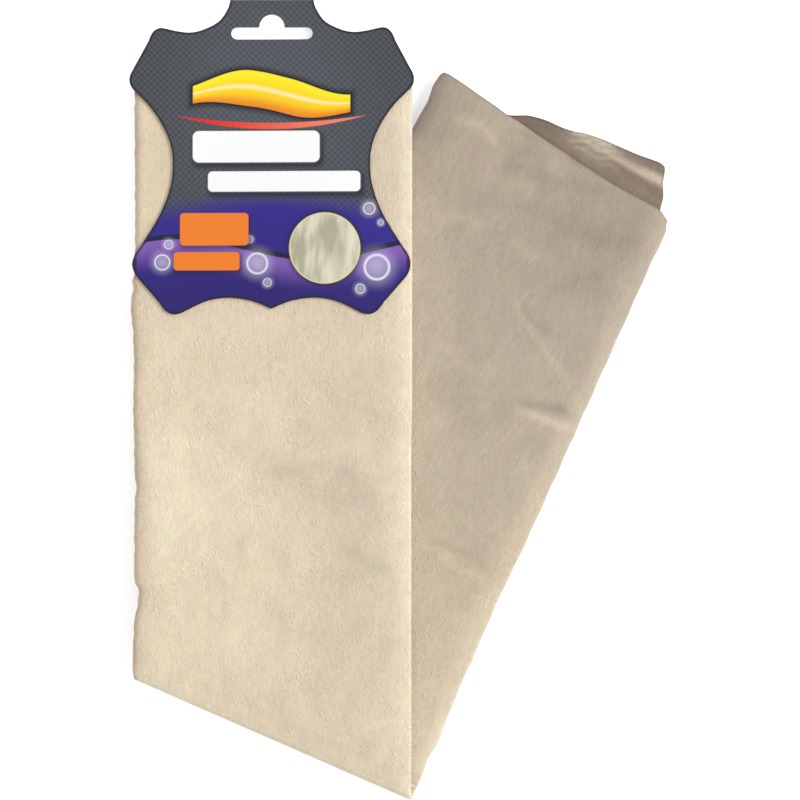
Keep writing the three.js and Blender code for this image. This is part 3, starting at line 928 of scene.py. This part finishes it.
def back_tone(at, share, x, y):
    """How grey, brown and warm: greyer towards the hide's end, partly painted shade; painted highlight and
    shade, and painted light beside the front half; brown on the tongue and where cut.
    """
    up = (x - EDGE_FOOT[0]) * UP_BACK[0] + (y - EDGE_FOOT[1]) * UP_BACK[1]
    top_leaf = at["leaves"] > LEAF_COUNT - 1.01
    grey = smooth_table(BACK_GREY_AND_SHADE, up)
    # A painted highlight along the right fold, and painted shade at the top left corner
    fold = smoothstep(at["across"], BAND_WIDTH - smooth_table(FOLD_HIGHLIGHT_WIDTH, up), BAND_WIDTH - 1.2)
    left_corner_shade = 0.35 * falling(at["across"], 0, 6) + 0.15 * falling(at["across"], 5, 22)
    left_corner_shade = left_corner_shade * smoothstep(up, 212, 240)
    right_end = 0.12 * smoothstep(at["across"], 45, 80) * smoothstep(up, 190, 225)
    # Painted light beside the front half, which lifts the shade that it casts there
    light_beside_front = smooth_table(PAINTED_LIGHT_BESIDE_FRONT, y) * falling(x, BAND_WIDTH - 1, BAND_WIDTH + 6)
    wide_light_beside_front = smooth_table(WIDE_PAINTED_LIGHT_BESIDE_FRONT, y) * falling(x, BAND_WIDTH, BAND_WIDTH + 22)
    light_beside_front = (light_beside_front + wide_light_beside_front) * smoothstep(x, BAND_WIDTH - 60, BAND_WIDTH - 6)
    top = grey - 0.3 * fold + left_corner_shade + right_end - light_beside_front + crease_depth(x, y, BACK_CREASES, 1)
    warmth = smooth_table(BACK_WARMTH, y) - 0.7 * smoothstep(at["across"], 97, 107) * smoothstep(up, 120, 150)
    # Cooler beside the front half: a painted colour against the warm light bounced there
    warmth = warmth - 0.6 * falling(x, BAND_WIDTH, BAND_WIDTH + 18)
    tongue = (at["leaves"] > 3.6) & ~top_leaf & (up > 200)
    to_end = BACK_LENGTH * smooth_table(BACK_END, at["leaves"]) - up
    tongue_light_and_shade, tongue_brown = tongue_tone(at["across"], up, to_end)
    brown = 0.3 * (top_leaf & (at["across"] < 0.8)) + tongue_brown * tongue + CUT_BROWN * (share > CUT_SHARE)
    # The leaves under the top one grow darker away from the bend: painted shade
    hidden = lerp(BEND_GREY, 0.8, smoothstep(up, LAP, 80))
    return np.where(top_leaf, top, np.where(tongue, tongue_light_and_shade, hidden)), brown, np.where(tongue, 0, warmth)


def beyond_top_leaf(across, up):
    """How far a place on the tongue reaches beyond the end of the top leaf over it, in millimetres."""
    return up - BACK_LENGTH * smooth_table(BACK_END, LEAF_COUNT - np.clip(across / BAND_WIDTH, 0, 1))


def tongue_tone(across, up, to_end):
    """How dark and how brown the tongue is: a painted highlight on its rolled ridge, painted shade beside it
    and in wrinkles, a dark left part, a dark end edge.
    """
    beyond = beyond_top_leaf(across, up)
    fall = smoothstep(beyond, 9.8, 12.2 + 1.8 * smoothstep(across, 82, 98))
    ridge = smoothstep(beyond, 6.6, 9.2) * (1 - fall * smoothstep(across, 72, 84))
    ridge_highlight = smooth_table(RIDGE_HIGHLIGHT, across)
    wrinkled = smoothstep(across, 53, 62) * falling(across, 74, 84) * smoothstep(beyond, 2.5, 4.5)
    # Painted shade under the top leaf's edge and beyond the ridge; the dark end edge is partly the cut edge's
    # own colour, partly painted shade
    shade = 1.1 + 0.5 * falling(across, 46, 60) + 0.1 * falling(beyond, 0, 2.5)
    shade = shade + 0.12 * smoothstep(beyond, 11.5, 14) + 0.4 * falling(to_end, 0, 1.5) * (1 - ridge)
    wrinkles = np.sin(beyond * 2.1 + across * 0.55 + 1.5 * np.sin(across * 0.6)) * (0.05 + 0.13 * wrinkled)
    brown = 0.38 * (1 - 0.8 * ridge) * (1 - 0.75 * wrinkled)
    return shade - ridge_highlight * ridge - 0.18 * wrinkled + wrinkles, brown


def tongue_lift(across, up, leaves):
    """How the hide's end under the top leaf curls up past that leaf's edge, in a soft roll."""
    beyond = beyond_top_leaf(across, up)
    roll = np.exp(-(((beyond - ROLL_MIDDLE) / ROLL_HALF_WIDTH) ** 2)) * smoothstep(across, 50, 90)
    wrinkles = 0.18 * np.sin(beyond * 1.5 + across * 0.25) * smoothstep(beyond, 1, 4)
    inside = (leaves > LEAF_COUNT - 1.98) & (leaves < LEAF_COUNT - 1.02)
    return np.where(inside, ROLL_HEIGHT * roll * smoothstep(beyond, 0.5, 6) + wrinkles, 0)


class OBJECT_OT_chamois_front_half(bpy.types.Operator):
    """Model the front half of the skin, six leaves in one unbroken zigzag"""

    bl_idname = "object.chamois_front_half"
    bl_label = "Front Half of the Skin"

    def execute(self, context):
        settings = context.scene.chamois_skin
        section = zigzag(with_fine_top_leaf(100, 12), settings.softness)
        piece = skin_piece(
            "front_half_skin", section, crowded(210, 1.06), front_place, front_tone, settings,
            lambda at, x, y, share: y,
        )
        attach(piece, "upper_half")
        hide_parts("skin_front_half")
        return {"FINISHED"}


class OBJECT_OT_chamois_back_half(bpy.types.Operator):
    """Model the back half of the skin, with the hide's uneven end"""

    bl_idname = "object.chamois_back_half"
    bl_label = "Back Half of the Skin"

    def execute(self, context):
        settings = context.scene.chamois_skin
        hidden = np.array((0, 0.1, 0.2, 0.35, 0.5, 0.65, 0.8, 0.86, 0.9, 0.93, 0.96, 0.98, 1))
        tongue = runs((0, 0.26, 5), (0.26, 0.85, 22), (0.85, 0.96, 24), (0.96, 1, 4))
        top = runs((0.022, 0.09, 9), (0.09, 0.94, 68), (0.94, 0.99, 7))
        top = np.concatenate(((0, 0.006, 0.014), top, (0.994, 0.997, 1)))
        section = zigzag([hidden] * (LEAF_COUNT - 2) + [tongue, top], settings.softness)
        rows = runs((0, 0.8, 150), (0.8, 1, 62))

        def place(across, radius, share, leaves):
            into_fold = np.clip((across - BAND_WIDTH) / CORNER_WIDTH + 1, 0, 1) * (leaves > 4.5)
            end = BACK_LENGTH * smooth_table(BACK_END, leaves) - CORNER_DROP * into_fold**0.8
            up = lerp(LAP, end, share)
            x, y, z = back_place(across, radius, up)
            return x, y, z + tongue_lift(across, up, leaves)

        piece = skin_piece(
            "back_half_skin", section, rows, place, back_tone, settings,
            lambda at, x, y, share: -(x * UP_BACK[0] + y * UP_BACK[1]),
        )
        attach(piece, "lower_half")
        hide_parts("skin_back_half")
        return {"FINISHED"}


class OBJECT_OT_chamois_bottom_fold(bpy.types.Operator):
    """Model the bend across all leaves, in nested sheets"""

    bl_idname = "object.chamois_bottom_fold"
    bl_label = "Bottom Fold of the Skin"

    def execute(self, context):
        settings = context.scene.chamois_skin
        whole = zigzag(with_fine_top_leaf(60, 20), settings.softness)
        rows = runs((-1, 0, 5), (0, 1, 29), (1, 2, 5))

        def place(across, radius, share, leaves):
            front_share = np.clip(-share, 0, 1)
            y = -across * math.tan(FOLD_SLANT) + LAP * front_share
            depth = BOARD + ADHESIVE_SPACE + (radius - INNER_RADIUS)
            front = np.array((across, y, depth + lift(across, y)))
            back = np.array(back_place(across, radius, LAP * np.clip(share - 1, 0, 1)))
            bend = np.array(bend_place(across, radius, math.pi * np.clip(share, 0, 1)))
            return np.where(share < 0, front, np.where(share > 1, back, bend))

        for first, last in FOLD_GROUPS:
            section = only_leaves(whole, first, last)
            piece = skin_piece(
                f"bottom_fold_leaf_{first + 1}_to_{last + 1}", section, rows, place, self.tone, settings,
                self.flat_v,
            )
            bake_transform(piece)
            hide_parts("skin_bottom_fold")
        return {"FINISHED"}

    @staticmethod
    def flat_v(at, x, y, share):
        """The way down the front lap, round the bend and up the back lap."""
        laps = np.minimum(share, 0) + np.maximum(share - 1, 0)
        round_bend = math.pi * OUTER_RADIUS * np.clip(share, 0, 1)
        return -at["across"] * math.tan(FOLD_SLANT) - LAP * laps - round_bend

    @staticmethod
    def tone(at, share, x, y):
        """As on the front half above the bend, with painted light round it against its shading, and as on the
        back half below it.
        """
        grey, brown, warmth = front_tone(at, np.zeros(len(x)), x, y)
        bend_light = smooth_table(BEND_PAINTED_LIGHT, share)
        in_front = falling(share, 0.45, 0.6)
        grey = np.where(in_top_leaf(at), lerp(BEND_GREY, grey - bend_light, in_front), BEND_GREY)
        return grey, brown * in_front, warmth


# The header card


def spline_through(points, steps):
    """A smooth line through points, with that many steps between each two."""
    line = [points[0]]
    for i in range(len(points) - 1):
        before = np.array(points[i - 1 if i else 0])
        start, end = np.array(points[i]), np.array(points[i + 1])
        after = np.array(points[min(i + 2, len(points) - 1)])
        for step in range(1, steps + 1):
            t = step / steps
            leaving, arriving = (end - before) / 2, (after - start) / 2
            place = (2 * t**3 - 3 * t**2 + 1) * start + (t**3 - 2 * t**2 + t) * leaving
            line.append(tuple(place + (3 * t**2 - 2 * t**3) * end + (t**3 - t**2) * arriving))
    return line


def rounded_corner(start, control, end, steps):
    """A corner rounded from start to end."""
    start, control, end = (np.array(p) for p in (start, control, end))
    shares = [step / steps for step in range(steps + 1)]
    return [tuple((1 - t) ** 2 * start + 2 * (1 - t) * t * control + t * t * end) for t in shares]


def card_outline():
    """The die-cut card's outline, in millimetres from the card's middle line and the fold's left end."""

    def corners(shares):
        return [(-across * CARD_WIDTH / 2, NECK_TOP - down * CARD_HEIGHT) for across, down in shares]

    neck, flank, belly = corners(NECK), corners(FLANK), corners(BELLY)
    side = [(neck[0][0], NECK_TOP + OVERRUN)]
    side += spline_through(neck, 8)
    side += rounded_corner(neck[-1], *corners(SHOULDER), 10)
    start, control, end = corners(SHOULDER_CORNER)
    side += rounded_corner(start, control, end, 12)
    side += spline_through([end, *flank], 8)
    hip = corners(HIP_CORNER)
    side += rounded_corner(flank[-1], *hip, 12)
    start, control, end = corners(FOOT)
    side += rounded_corner(start, control, end, 12)
    side += spline_through([end, *belly], 8)
    kept = [p for i, p in enumerate(side) if i == 0 or math.dist(p, side[i - 1]) > 0.02]
    return kept + [(-x, y) for x, y in reversed(kept[:-1])]


def slot_outlines():
    """The hanging slot's bar and its round bump, as two overlapping outlines."""
    radius, reach = SLOT_BAR / 2, SLOT_WIDTH / 2 - SLOT_BAR / 2
    height = NECK_TOP - SLOT_DISTANCE + radius
    turns = np.linspace(-math.pi / 2, math.pi / 2, 17)
    bar = [(reach + radius * math.cos(t), height + radius * math.sin(t)) for t in turns]
    bar += [(-x, y) for x, y in reversed(bar)]
    bump_radius = SLOT_BUMP / 2
    bump_height = NECK_TOP - SLOT_DISTANCE + SLOT_HEIGHT - bump_radius
    turns = np.linspace(0, math.pi, 33)
    bump = [(bump_radius * math.cos(t), bump_height + bump_radius * math.sin(t)) for t in turns]
    return bar, [(bump_radius, height), *bump, (-bump_radius, height)]


# The card's materials, in their order on its mesh
FRONT_PRINT, BARE_BOARD, BACK_PRINT = range(3)


def cutter(name, outline, materials):
    """An upright cutter over an outline, which runs past both faces of the stack and leaves bare board."""
    deselect_all()
    bpy.ops.mesh.primitive_circle_add(vertices=len(outline), radius=0.1, fill_type="NGON")
    tool = bpy.context.object
    tool.name = name
    x, y = np.array(outline).T
    set_places(tool, x + CARD_CENTRE, y, np.full(len(x), -OVERRUN))
    bpy.ops.object.mode_set(mode="EDIT")
    bpy.ops.mesh.select_all(action="SELECT")
    rise = (2 * OVERRUN + STACK_HEIGHT) * MM
    bpy.ops.mesh.extrude_region_move(TRANSFORM_OT_translate={"value": (0, 0, rise)})
    bpy.ops.mesh.select_all(action="SELECT")
    bpy.ops.mesh.normals_make_consistent(inside=False)
    bpy.ops.object.mode_set(mode="OBJECT")
    for material in materials:
        tool.data.materials.append(material)
    tool.data.polygons.foreach_set("material_index", [BARE_BOARD] * len(tool.data.polygons))
    return tool


def cut_with(piece, tool, operation):
    make_active(piece)
    cut = piece.modifiers.new("Cut", "BOOLEAN")
    cut.operation, cut.object, cut.solver = operation, tool, "EXACT"
    bpy.ops.object.modifier_apply(modifier=cut.name)
    bpy.data.objects.remove(tool, do_unlink=True)


def card_blank(name):
    """The blank: the back panel from its foot up, round the neck, and the front panel down to its foot."""
    down = runs((0, WEDGE[1], 41), (WEDGE[1], CARD_HEIGHT + OVERRUN, 13))
    turns = np.linspace(-math.pi / 2, math.pi / 2, 13)
    stations = [(NECK_CENTRE - d, -1, 0.0) for d in down[:0:-1]]
    stations += [(NECK_CENTRE, 0, t) for t in turns]
    stations += [(NECK_CENTRE - d, 1, 0.0) for d in down[1:]]
    y, panel, turned = np.array(stations).T
    columns = 61
    piece, column, row, side = double_grid(name, columns, len(stations))
    x = CARD_CENTRE + (CARD_WIDTH + 2 * OVERRUN) * (column / (columns - 1) - 0.5)
    y, panel, turned = y[row], panel[row], turned[row]
    half = BOARD / 2
    radius = NECK_RADIUS + side * half
    bent = panel == 0
    height = np.where(panel > 0, panel_spacing(y) + side * half, -side * half)
    height = np.where(bent, NECK_RADIUS + radius * np.sin(turned), height)
    place_y = np.where(bent, NECK_CENTRE + radius * np.cos(turned), y)
    set_places(piece, x, place_y, half + height + lift(x, y))
    return piece


def mark_distance_from_outline(piece, outline):
    """Gives each vertex its distance in millimetres from the card's outline."""
    corner = corner_of_skin()
    line = np.array(outline) + (CARD_CENTRE + corner[0], corner[1])
    start, run = line, np.roll(line, -1, axis=0) - line
    places = coordinates(piece)[:, :2] / MM
    offset = places[:, None, :] - start
    share = np.clip((offset * run).sum(2) / np.maximum((run * run).sum(1), 1e-9), 0, 1)
    distance = np.linalg.norm(offset - share[..., None] * run, axis=2).min(1)
    set_attribute(piece, "from_edge", distance)


class OBJECT_OT_chamois_header_card(bpy.types.Operator):
    """Model the die-cut header card, one board folded at its neck, with its hanging slot"""

    bl_idname = "object.chamois_header_card"
    bl_label = "Header Card"

    def execute(self, context):
        settings = context.scene.chamois_card
        materials = [front_print_material(settings), bare_board_material(), back_print_material(settings)]
        piece = card_blank("header_card_board")
        # The printed outer face has the first half of the blank's vertices
        outer = len(piece.data.vertices) // 2
        faces = [
            BARE_BOARD if max(polygon.vertices) >= outer else FRONT_PRINT for polygon in piece.data.polygons
        ]
        for material in materials:
            piece.data.materials.append(material)
        piece.data.polygons.foreach_set("material_index", faces)
        close_up(piece, CARD_SMOOTHING)
        outline = card_outline()
        cut_with(piece, cutter("Outline", outline, materials), "INTERSECT")
        for shape in slot_outlines():
            cut_with(piece, cutter("Slot", shape, materials), "DIFFERENCE")
        mark_distance_from_outline(piece, outline)
        for polygon in piece.data.polygons:
            faces_down = polygon.normal.z < -0.3
            if polygon.material_index == FRONT_PRINT and faces_down:
                polygon.material_index = BACK_PRINT
        make_active(piece)
        bpy.ops.object.shade_smooth_by_angle(angle=CARD_SMOOTHING)
        deselect_all()
        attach(piece, "header")
        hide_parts("header_card")
        return {"FINISHED"}


def bare_board_material():
    """Uncoated board, as on the card's inner faces and along its cut."""
    material, nodes = new_material("Bare Board")
    fibre = nodes.noise(nodes.in_millimetres(nodes.object_place()), 1.8, 4.0, 0.7)
    colour = nodes.mix(nodes.mapped(fibre, 0.3, 0.7), srgb(205, 202, 196), srgb(228, 226, 220))
    nodes.finish(Base_Color=colour, Roughness=0.8, Normal=nodes.bump(fibre, 0.4, 0.05 * MM))
    return material


def bar_group():
    """A node group for a rounded bar: how far outside it a place is, in millimetres, and below 0 inside."""
    inputs = (("Place", "Vector"), ("Centre", "Vector"), ("Half Size", "Vector"), ("Corner", "Float"))
    group, nodes, given = new_group("Rounded Bar", inputs, ("Distance", "Float"))
    offset = nodes.vector("ABSOLUTE", nodes.vector("SUBTRACT", given["Place"], given["Centre"]))
    corner = nodes.add("ShaderNodeCombineXYZ", {0: given["Corner"], 1: given["Corner"], 2: 0.0}).outputs[0]
    core = nodes.vector("SUBTRACT", given["Half Size"], corner)
    past = nodes.vector("MULTIPLY", nodes.vector("SUBTRACT", offset, core), (1, 1, 0))
    outside = nodes.vector("LENGTH", nodes.vector("MAXIMUM", past, (0, 0, 0)))
    parts = nodes.split(past)
    inside = nodes.math("MINIMUM", nodes.larger(parts[0], parts[1]), 0.0)
    distance = nodes.minus(nodes.plus(outside, inside), given["Corner"])
    nodes.put(nodes.add("NodeGroupOutput").inputs["Distance"], distance)
    return group


def ring_group():
    """A node group for a soft round glint: a pale ring round a faint glow."""
    inputs = (("Place", "Vector"), ("Centre", "Vector"), ("Radius", "Float"))
    group, nodes, given = new_group("Soft Ring", inputs, ("Light", "Float"))
    share = nodes.over(nodes.flat_distance(given["Place"], given["Centre"]), given["Radius"])
    off_ring = nodes.over(nodes.minus(share, 0.85), 0.12)
    ring = nodes.math("EXPONENT", nodes.times(off_ring, off_ring, -1.0))
    glow = nodes.times(nodes.mapped(share, 0.0, 1.9, 1.0, 0.0), 0.45)
    nodes.put(nodes.add("NodeGroupOutput").inputs["Light"], nodes.larger(ring, glow))
    return group


# The printed weave's pitch and half the soft edge of printed shapes, in millimetres, and the dark ink
WEAVE_PITCH = 2.5
INK_EDGE = 0.16
DARK_INK = (0.012, 0.012, 0.02, 1)

# The print's bare bars by centre, half size and corner radius, its rings by centre and radius, and its round
# window, in millimetres right of the card's middle and down from the top of its neck
WHITE_BARS = (((-6.0, 58.5), (25.0, 6.2), 2.4), ((5.0, 72.2), (30.0, 4.0), 1.8))
LABELS = (((-22.5, 91.0), (13.5, 6.4), 1.6), ((-25.5, 103.6), (13.0, 3.6), 1.4))
RINGS = (
    ((-5.5, 104.5), 4.6), ((-1.5, 112.0), 1.8), ((38.5, 83.0), 2.6), ((43.0, 88.5), 1.3), ((-8.5, 95.0), 1.5),
    ((41.5, 106.0), 5.6), ((35.0, 114.5), 2.1), ((-40.5, 97.0), 2.0), ((-43.0, 104.0), 3.4),
)
WINDOW_CENTRE = (21.0, 98.5, 0)
WINDOW_RADIUS = 14.0


class Print(Nodes):
    """One face's varnished print: a woven charcoal ground, a little lighter in its middle."""

    def __init__(self, tree, settings):
        super().__init__(tree)
        self.settings = settings
        corner = corner_of_skin()
        self.place = self.mapping(
            self.object_place(), location=(-(CARD_CENTRE + corner[0]), NECK_TOP + corner[1], 0),
            scale=(PER_MM, -PER_MM, PER_MM),
        )
        turn = 2 * math.pi / WEAVE_PITCH
        parts = self.split(self.vector("COSINE", self.vector("MULTIPLY", self.place, (turn, turn, 0))))
        weave = self.times(parts[0], parts[1], 0.3)
        from_middle = self.flat_distance(self.place, (0, 45, 0), (0.9, 0.6, 0))
        level = self.plus(weave, self.mapped(from_middle, 8.0, 52.0, 1.14, 0.84))
        self.colour = self.shaded(tuple(settings.ground_color), level)

    def lay(self, share, colour):
        """Prints a colour over what is there, where its share is above 0."""
        self.colour = self.mix(share, self.colour, colour)

    def darken(self, share):
        self.lay(share, DARK_INK)

    def inside(self, distance):
        return self.mapped(distance, -INK_EDGE, INK_EDGE, 1.0, 0.0, smooth=False)

    def below_wave(self, height, amplitude, length, phase):
        """How far a place lies below a wave across the card."""
        parts = self.split(self.place)
        wave = self.math("SINE", self.plus(self.over(parts[0], length), phase))
        return self.minus(parts[1], self.plus(self.times(wave, amplitude), height))

    def varnish(self):
        self.finish(
            Base_Color=self.colour, Roughness=self.settings.gloss, Specular_IOR_Level=0.2, Coat_Weight=0.05,
            Coat_Roughness=0.25,
        )


class FrontPrint(Print):
    """The front print's own parts, each laid over the one before."""

    def violet_field(self):
        """The violet field, under an arched edge, with a lighter wave below a dark line."""
        below = self.below_wave(87.0, -9.0, 34.0, math.pi / 2)
        field = self.mix(self.mapped(below, 0.0, 42.0), tuple(self.settings.field_color), srgb(44, 32, 112))
        self.lay(self.mapped(below, -5.0, 6.0), field)
        wave = self.below_wave(99.0, 4.2, 17.0, 0.6)
        light = self.times(self.mapped(wave, 0.0, 0.3), self.mapped(wave, 0.3, 13.0, 1.0, 0.0), 0.75)
        self.lay(light, srgb(146, 104, 190))
        off_line = self.minus(self.absolute(self.plus(wave, 0.9)), 0.9)
        self.darken(self.times(self.inside(off_line), 0.92))

    def past_window(self):
        """How far a place lies outside the round window."""
        return self.minus(self.flat_distance(self.place, WINDOW_CENTRE), WINDOW_RADIUS)

    def window(self):
        """The round window with a pale cloth in soft folds."""
        past = self.past_window()
        cloth_place = self.mapping(self.place, rotation=(0, 0, 52 * DEGREE), scale=(0.16, 0.03, 1))
        folds = self.noise(cloth_place, 1.6, 2.0, 0.4)
        cloth = self.mix(self.mapped(folds, 0.32, 0.7), srgb(176, 172, 148), srgb(226, 221, 196))
        self.darken(self.mapped(past, 0.0, 2.4, 0.6, 0.0))
        self.lay(self.inside(past), srgb(226, 218, 150))
        self.lay(self.inside(self.plus(past, 0.45)), cloth)

    def rings(self):
        tree = ring_group()
        lights = [
            self.group(tree, place=self.place, centre=(*centre, 0), radius=radius) for centre, radius in RINGS
        ]
        shown = self.times(self.mapped(self.past_window(), 0.0, 0.4), 0.85)
        self.lay(self.times(self.larger(*lights), shown), srgb(244, 242, 255))

    def bars(self, shapes, shift, fade, strength, outline, colour):
        """Bare bars, each over its own soft printed shadow, and with a grey outline where one is given."""
        tree = bar_group()
        for (right, down), half_size, radius in shapes:
            size = {"half_size": (*half_size, 0), "corner": radius}
            shadow = self.group(tree, place=self.place, centre=(right + shift[0], down + shift[1], 0), **size)
            self.darken(self.mapped(shadow, -0.5, fade, strength, 0.0))
            distance = self.group(tree, place=self.place, centre=(right, down, 0), **size)
            if outline:
                self.lay(self.inside(self.minus(distance, outline)), srgb(70, 72, 80))
            self.lay(self.inside(distance), colour)

    def ribbon(self):
        """The yellow ribbon with its dark outline."""
        right = self.absolute(self.split(self.place)[0])
        below = self.below_wave(38.5, 3.4, 12.5, -0.5)
        half_width = self.mapped(right, 8.0, 33.0, 7.2, 3.4)
        reach = self.larger(self.minus(self.absolute(below), half_width), self.minus(right, 31.0))
        fall = self.over(below, half_width)
        gold = self.mix(self.mapped(fall, -0.9, 0.0), srgb(255, 236, 40), srgb(255, 214, 30))
        gold = self.mix(self.mapped(fall, 0.15, 0.95), gold, srgb(238, 142, 32))
        off_glint = self.absolute(self.times(self.plus(fall, 0.08), 5.0))
        glint = self.math("SUBTRACT", 1.0, off_glint, clamp=True)
        gold = self.mix(self.times(glint, 0.7), gold, srgb(255, 252, 214))
        self.darken(self.mapped(reach, 0.6, 3.2, 0.7, 0.0))
        self.darken(self.inside(self.minus(reach, 0.75)))
        self.lay(self.inside(reach), gold)

    def red_curve(self):
        """The thin red curve under the ribbon, which thins out towards both ends."""
        parts = self.split(self.place)
        bow = self.over(parts[0], 37.0)
        bow = self.times(bow, bow)
        half_width = self.times(self.minus(1.0, bow), 1.25)
        off_curve = self.minus(parts[1], self.minus(50.4, self.times(bow, 4.0)))
        red = self.mix(self.mapped(parts[0], -30.0, 34.0), srgb(233, 40, 42), srgb(240, 138, 106))
        self.lay(self.inside(self.minus(self.absolute(off_curve), half_width)), red)

    # A dark band along the card's edge: partly a printed border, partly painted shadow
    def edge_print_and_shade(self):
        self.darken(self.mapped(self.attribute("from_edge"), 0.35, 1.3, 0.85, 0.0))


def front_print_material(settings):
    """The front print: bare bars, labels and soft rings on the woven ground over a violet field."""
    material, nodes = new_material("Card Front Print")
    front = FrontPrint(nodes.tree, settings)
    front.violet_field()
    front.window()
    front.rings()
    front.bars(
        LABELS, shift=(0.5, 0.9), fade=1.6, strength=0.55, outline=None, colour=tuple(settings.label_color),
    )
    front.ribbon()
    front.red_curve()
    front.bars(
        WHITE_BARS, shift=(0.7, 1.2), fade=2.6, strength=0.75, outline=0.55, colour=srgb(252, 252, 252),
    )
    front.edge_print_and_shade()
    front.varnish()
    return material


def back_print_material(settings):
    """The back print: the woven ground alone."""
    material, nodes = new_material("Card Back Print")
    Print(nodes.tree, settings).varnish()
    return material


class OBJECT_OT_chamois_adhesive(bpy.types.Operator):
    """Give the two strips of adhesive between the card and the skin their finish"""

    bl_idname = "object.chamois_adhesive"
    bl_label = "Adhesive Strips"

    def execute(self, context):
        material, nodes = new_material("Clear Adhesive")
        flow = nodes.noise(nodes.in_millimetres(nodes.object_place()), 0.5, 3.0)
        colour = nodes.mix(nodes.mapped(flow, 0.3, 0.7), srgb(214, 205, 172), srgb(233, 226, 200))
        nodes.finish(Base_Color=colour, Roughness=0.35, Normal=nodes.bump(flow, 0.5, 0.2 * MM))
        for name in ("front_adhesive_strip", "rear_adhesive_strip"):
            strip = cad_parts[name]
            strip.data.materials.clear()
            strip.data.materials.append(material)
        return {"FINISHED"}


# The stage


# The stage in metres, how far the table glows where it is seen, and the camera's sensor in millimetres
TABLE_SIZE = 8
TABLE_GLOW = 0.55
LAMP_PLACE = (1.1, 0.35, 1.35)
LAMP_SIZE = 0.7
PICTURE_MIDDLE = (0.0006, -0.0003)
SENSOR_WIDTH = 36


def seen(nodes):
    """1 where the camera sees something, straight or mirrored, and 0 for the light that falls on things."""
    path = nodes.add("ShaderNodeLightPath").outputs
    return nodes.larger(path["Is Camera Ray"], path["Is Glossy Ray"], path["Is Transmission Ray"])


class OBJECT_OT_chamois_stage(bpy.types.Operator):
    """Set the white table, the soft lamp, the room's light and the camera over the skin"""

    bl_idname = "object.chamois_stage"
    bl_label = "Stage"

    def execute(self, context):
        settings = context.scene.chamois_stage
        deselect_all()
        bpy.ops.mesh.primitive_plane_add(size=TABLE_SIZE, location=(0, 0, -0.1 * MM))
        table = context.object
        table.name = "Table"
        material, nodes = new_material("White Table")
        nodes.finish(
            Base_Color=srgb(240, 240, 240), Roughness=0.9, Specular_IOR_Level=0.0,
            Emission_Color=(1, 1, 1, 1), Emission_Strength=nodes.times(seen(nodes), TABLE_GLOW),
        )
        table.data.materials.append(material)

        world = bpy.data.worlds.new("Room")
        world.use_nodes = True
        world.node_tree.nodes.clear()
        nodes = Nodes(world.node_tree)
        level = nodes.mapped(seen(nodes), 0.0, 1.0, settings.room_light, 1.0, smooth=False)
        background = nodes.add("ShaderNodeBackground", {"Color": (1, 1, 1, 1), "Strength": level})
        nodes.add("ShaderNodeOutputWorld", {"Surface": background.outputs[0]})
        context.scene.world = world

        bpy.ops.object.light_add(type="AREA", location=LAMP_PLACE)
        lamp = context.object
        lamp.name = "Soft Lamp"
        lamp.data.size = LAMP_SIZE
        lamp.data.energy = settings.lamp_power
        lamp.rotation_euler = (-lamp.location).to_track_quat("-Z", "Y").to_euler()

        bpy.ops.object.camera_add(location=(*PICTURE_MIDDLE, settings.camera_distance), rotation=(0, 0, 0))
        camera = context.object
        camera.data.sensor_width = SENSOR_WIDTH
        camera.data.lens = SENSOR_WIDTH * settings.camera_distance / settings.view_width
        camera.data.clip_start, camera.data.clip_end = 0.05, 50
        context.scene.camera = camera
        context.scene.view_settings.view_transform = "Standard"
        return {"FINISHED"}


class VIEW3D_PT_chamois(bpy.types.Panel):
    bl_label = "Chamois Leather"
    bl_idname = "VIEW3D_PT_chamois"
    bl_space_type = "VIEW_3D"
    bl_region_type = "UI"
    bl_category = "Chamois"

    def draw(self, context):
        layout = self.layout
        for settings in (context.scene.chamois_skin, context.scene.chamois_card, context.scene.chamois_stage):
            column = layout.column()
            for name in settings.__annotations__:
                column.prop(settings, name)
        for operator in OPERATORS:
            layout.operator(operator.bl_idname)


OPERATORS = (
    OBJECT_OT_chamois_back_half,
    OBJECT_OT_chamois_bottom_fold,
    OBJECT_OT_chamois_header_card,
    OBJECT_OT_chamois_front_half,
    OBJECT_OT_chamois_adhesive,
    OBJECT_OT_chamois_stage,
)
SETTINGS = (
    ("chamois_skin", ChamoisSkinSettings),
    ("chamois_card", ChamoisCardSettings),
    ("chamois_stage", ChamoisStageSettings),
)


def register():
    for _, settings in SETTINGS:
        bpy.utils.register_class(settings)
    for operator in OPERATORS:
        bpy.utils.register_class(operator)
    bpy.utils.register_class(VIEW3D_PT_chamois)
    for name, settings in SETTINGS:
        setattr(bpy.types.Scene, name, bpy.props.PointerProperty(type=settings))


def unregister():
    for name, _ in SETTINGS:
        delattr(bpy.types.Scene, name)
    bpy.utils.unregister_class(VIEW3D_PT_chamois)
    for operator in reversed(OPERATORS):
        bpy.utils.unregister_class(operator)
    for _, settings in reversed(SETTINGS):
        bpy.utils.unregister_class(settings)


def main():
    register()
    bpy.ops.object.chamois_back_half()
    bpy.ops.object.chamois_bottom_fold()
    bpy.ops.object.chamois_header_card()
    bpy.ops.object.chamois_front_half()
    bpy.ops.object.chamois_adhesive()
    bpy.ops.object.chamois_stage()


if __name__ == "__main__":
    main()
